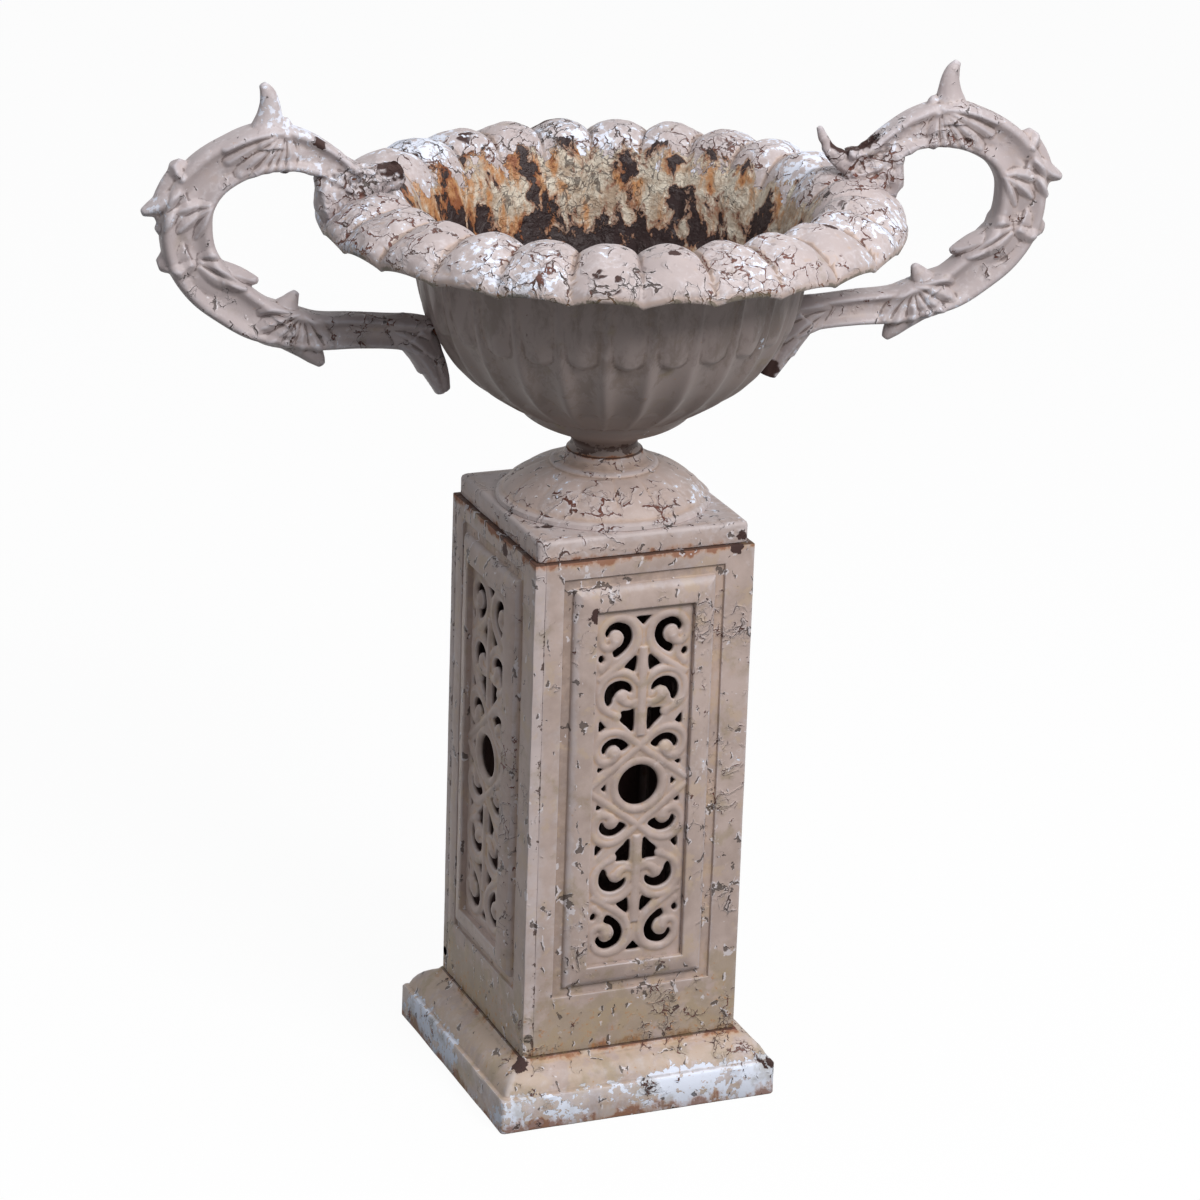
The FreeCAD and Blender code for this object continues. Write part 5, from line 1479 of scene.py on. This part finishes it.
def largest_part(mesh):
    """Keeps only the largest connected part of a mesh."""
    shape = opened(mesh, outwards=False)
    seen = set()
    groups = []
    for start in shape.verts:
        if start.index in seen:
            continue
        group = [start]
        seen.add(start.index)
        for vertex in group:
            for edge in vertex.link_edges:
                other = edge.other_vert(vertex)
                if other.index not in seen:
                    seen.add(other.index)
                    group.append(other)
        groups.append(group)
    groups.sort(key=len)
    for group in groups[:-1]:
        bmesh.ops.delete(shape, geom=group, context="VERTS")
    return close(shape, mesh)


# %% [markdown]
# The leaves lie over both faces of the scroll as low folds. After the melting, each point of a face is lifted
# by the highest fold over it. A fold is a smooth line that falls off to both sides, and a box round it tells
# quickly which points it can reach. Where a handle widens into the rim, noise makes it lumpy.

# %% Leaf folds
FOLD_WIDTH_SHARE = 1.6  # width and height of a fold beside the radius of its rib
FOLD_HEIGHT_SHARE = 1.05
FOLD_POWER = 1.3
LUMP = 2.6


def leaf_fold(leaf):
    """Rib of a leaf as a smooth line, with the box that it can reach."""
    line = smooth_points(leaf, 3 * len(leaf))
    reach = FOLD_WIDTH_SHARE * max(r for _, _, r in leaf)
    xs, zs = [x for x, _, _ in line], [z for _, z, _ in line]
    return min(xs) - reach, min(zs) - reach, max(xs) + reach, max(zs) + reach, line


FOLDS = [leaf_fold(leaf) for leaf in LEAVES]


def fold_height(x, z):
    """Height of the leaf folds over a point of the handle's face, in millimetres."""
    highest = 0.0
    for low_x, low_z, high_x, high_z, line in FOLDS:
        if not (low_x < x < high_x and low_z < z < high_z):
            continue
        for (x0, z0, r0), (x1, z1, r1) in zip(line, line[1:]):
            run_x, run_z = x1 - x0, z1 - z0
            share = straight_share((x - x0) * run_x + (z - z0) * run_z, 0.0, run_x * run_x + run_z * run_z)
            radius = r0 + (r1 - r0) * share
            off = math.hypot(x - x0 - run_x * share, z - z0 - run_z * share) / (radius * FOLD_WIDTH_SHARE)
            if off < 1.0:
                highest = max(highest, radius * FOLD_HEIGHT_SHARE * (1.0 - off ** FOLD_POWER))
    return highest


def at_root(point):
    """1 where a handle widens into the rim and 0 away from there."""
    outward, height = point.x / MM, point.z / MM
    widening = smooth_share(-outward, -258, -244)
    return widening * smooth_share(height, 725, 740) * (1 - smooth_share(height, 786, 798))


def raise_folds(mesh):
    """Lifts both faces of the scroll where the leaves lie, and makes the root lumpy."""
    shape = opened(mesh, outwards=False)
    shape.normal_update()
    for vertex in shape.verts:
        facing = vertex.normal.y
        if abs(facing) > 0.25:
            lift = fold_height(vertex.co.x / MM, vertex.co.z / MM)
            vertex.co.y += math.copysign(lift * MM * min(1.0, abs(facing) * 1.6), facing)
        rooted = at_root(vertex.co)
        if rooted:
            lump = noise.noise(vertex.co * 75.0) + 0.5 * noise.noise(vertex.co * 170.0)
            vertex.co += vertex.normal * (lump * LUMP * MM * rooted)
    bmesh.ops.smooth_vert(shape, verts=shape.verts, factor=0.5, use_axis_x=True, use_axis_y=True,
                          use_axis_z=True)
    return close(shape, mesh)


# %% [markdown]
# The two handles differ at the top: the right one still has its horn, the left one only a stump with a hole
# in it. A few places on each have lost their paint, and one dark place under the tip of the right handle's
# lowest leaf is painted shade. The roots are trimmed where they would stick through the bowl, and scraps that
# the trimming cuts off are dropped.

# %% Handle castings
def vine_handle(horn, opening):
    parts = [swept_scroll()]
    parts += [vine_tube(thorn, 0.82) for thorn in THORNS + (horn,)]
    parts += [vine_tube(pad, 0.66) for pad in PADS]
    parts += [root_swelling(x, z, swelling) for (x, z), swelling in ROOT_SWELLINGS]
    mesh = raise_folds(melted(parts, 1.0 * MM, 7, "handle"))
    return largest_part(trimmed(trimmed(mesh, vine_tube(opening, 0.8)), bowl_core()))


BARE_REACH = (0.0115, 0.0100)  # distances from a bare place between which the paint begins
for handle_name, half_turn, horn, opening, bare_and_shaded_places in (
    # The last place on the right handle is painted shade under the lowest leaf's tip, not lost paint.
    ("right_handle", 0, HORN, HOLLOW, ((190, 794), (200, 793), (210, 792), (136, 606))),
    ("left_handle", 180, HORN_STUMP, STUMP_HOLE, ((183, 784), (176, 789), (168, 794))),
):
    copy = vine_handle(horn, opening)
    spots = [Vector((x, 0, z)) * MM for x, z in bare_and_shaded_places]
    away = [min((v.co - spot).length for spot in spots) + 0.006 * noise.noise(v.co * 210.0)
            for v in copy.vertices]
    rootedness = [at_root(v.co) for v in copy.vertices]
    copy.transform(Matrix.Rotation(TURN + math.radians(half_turn), 4, "Z"))
    piece = finished_piece(handle_name + "_casting", copy, "urn", [handle_name], handle_paint, 60.0)
    store(piece, "bare", [straight_share(distance, *BARE_REACH) for distance in away])
    store(piece, "cracked", rootedness)
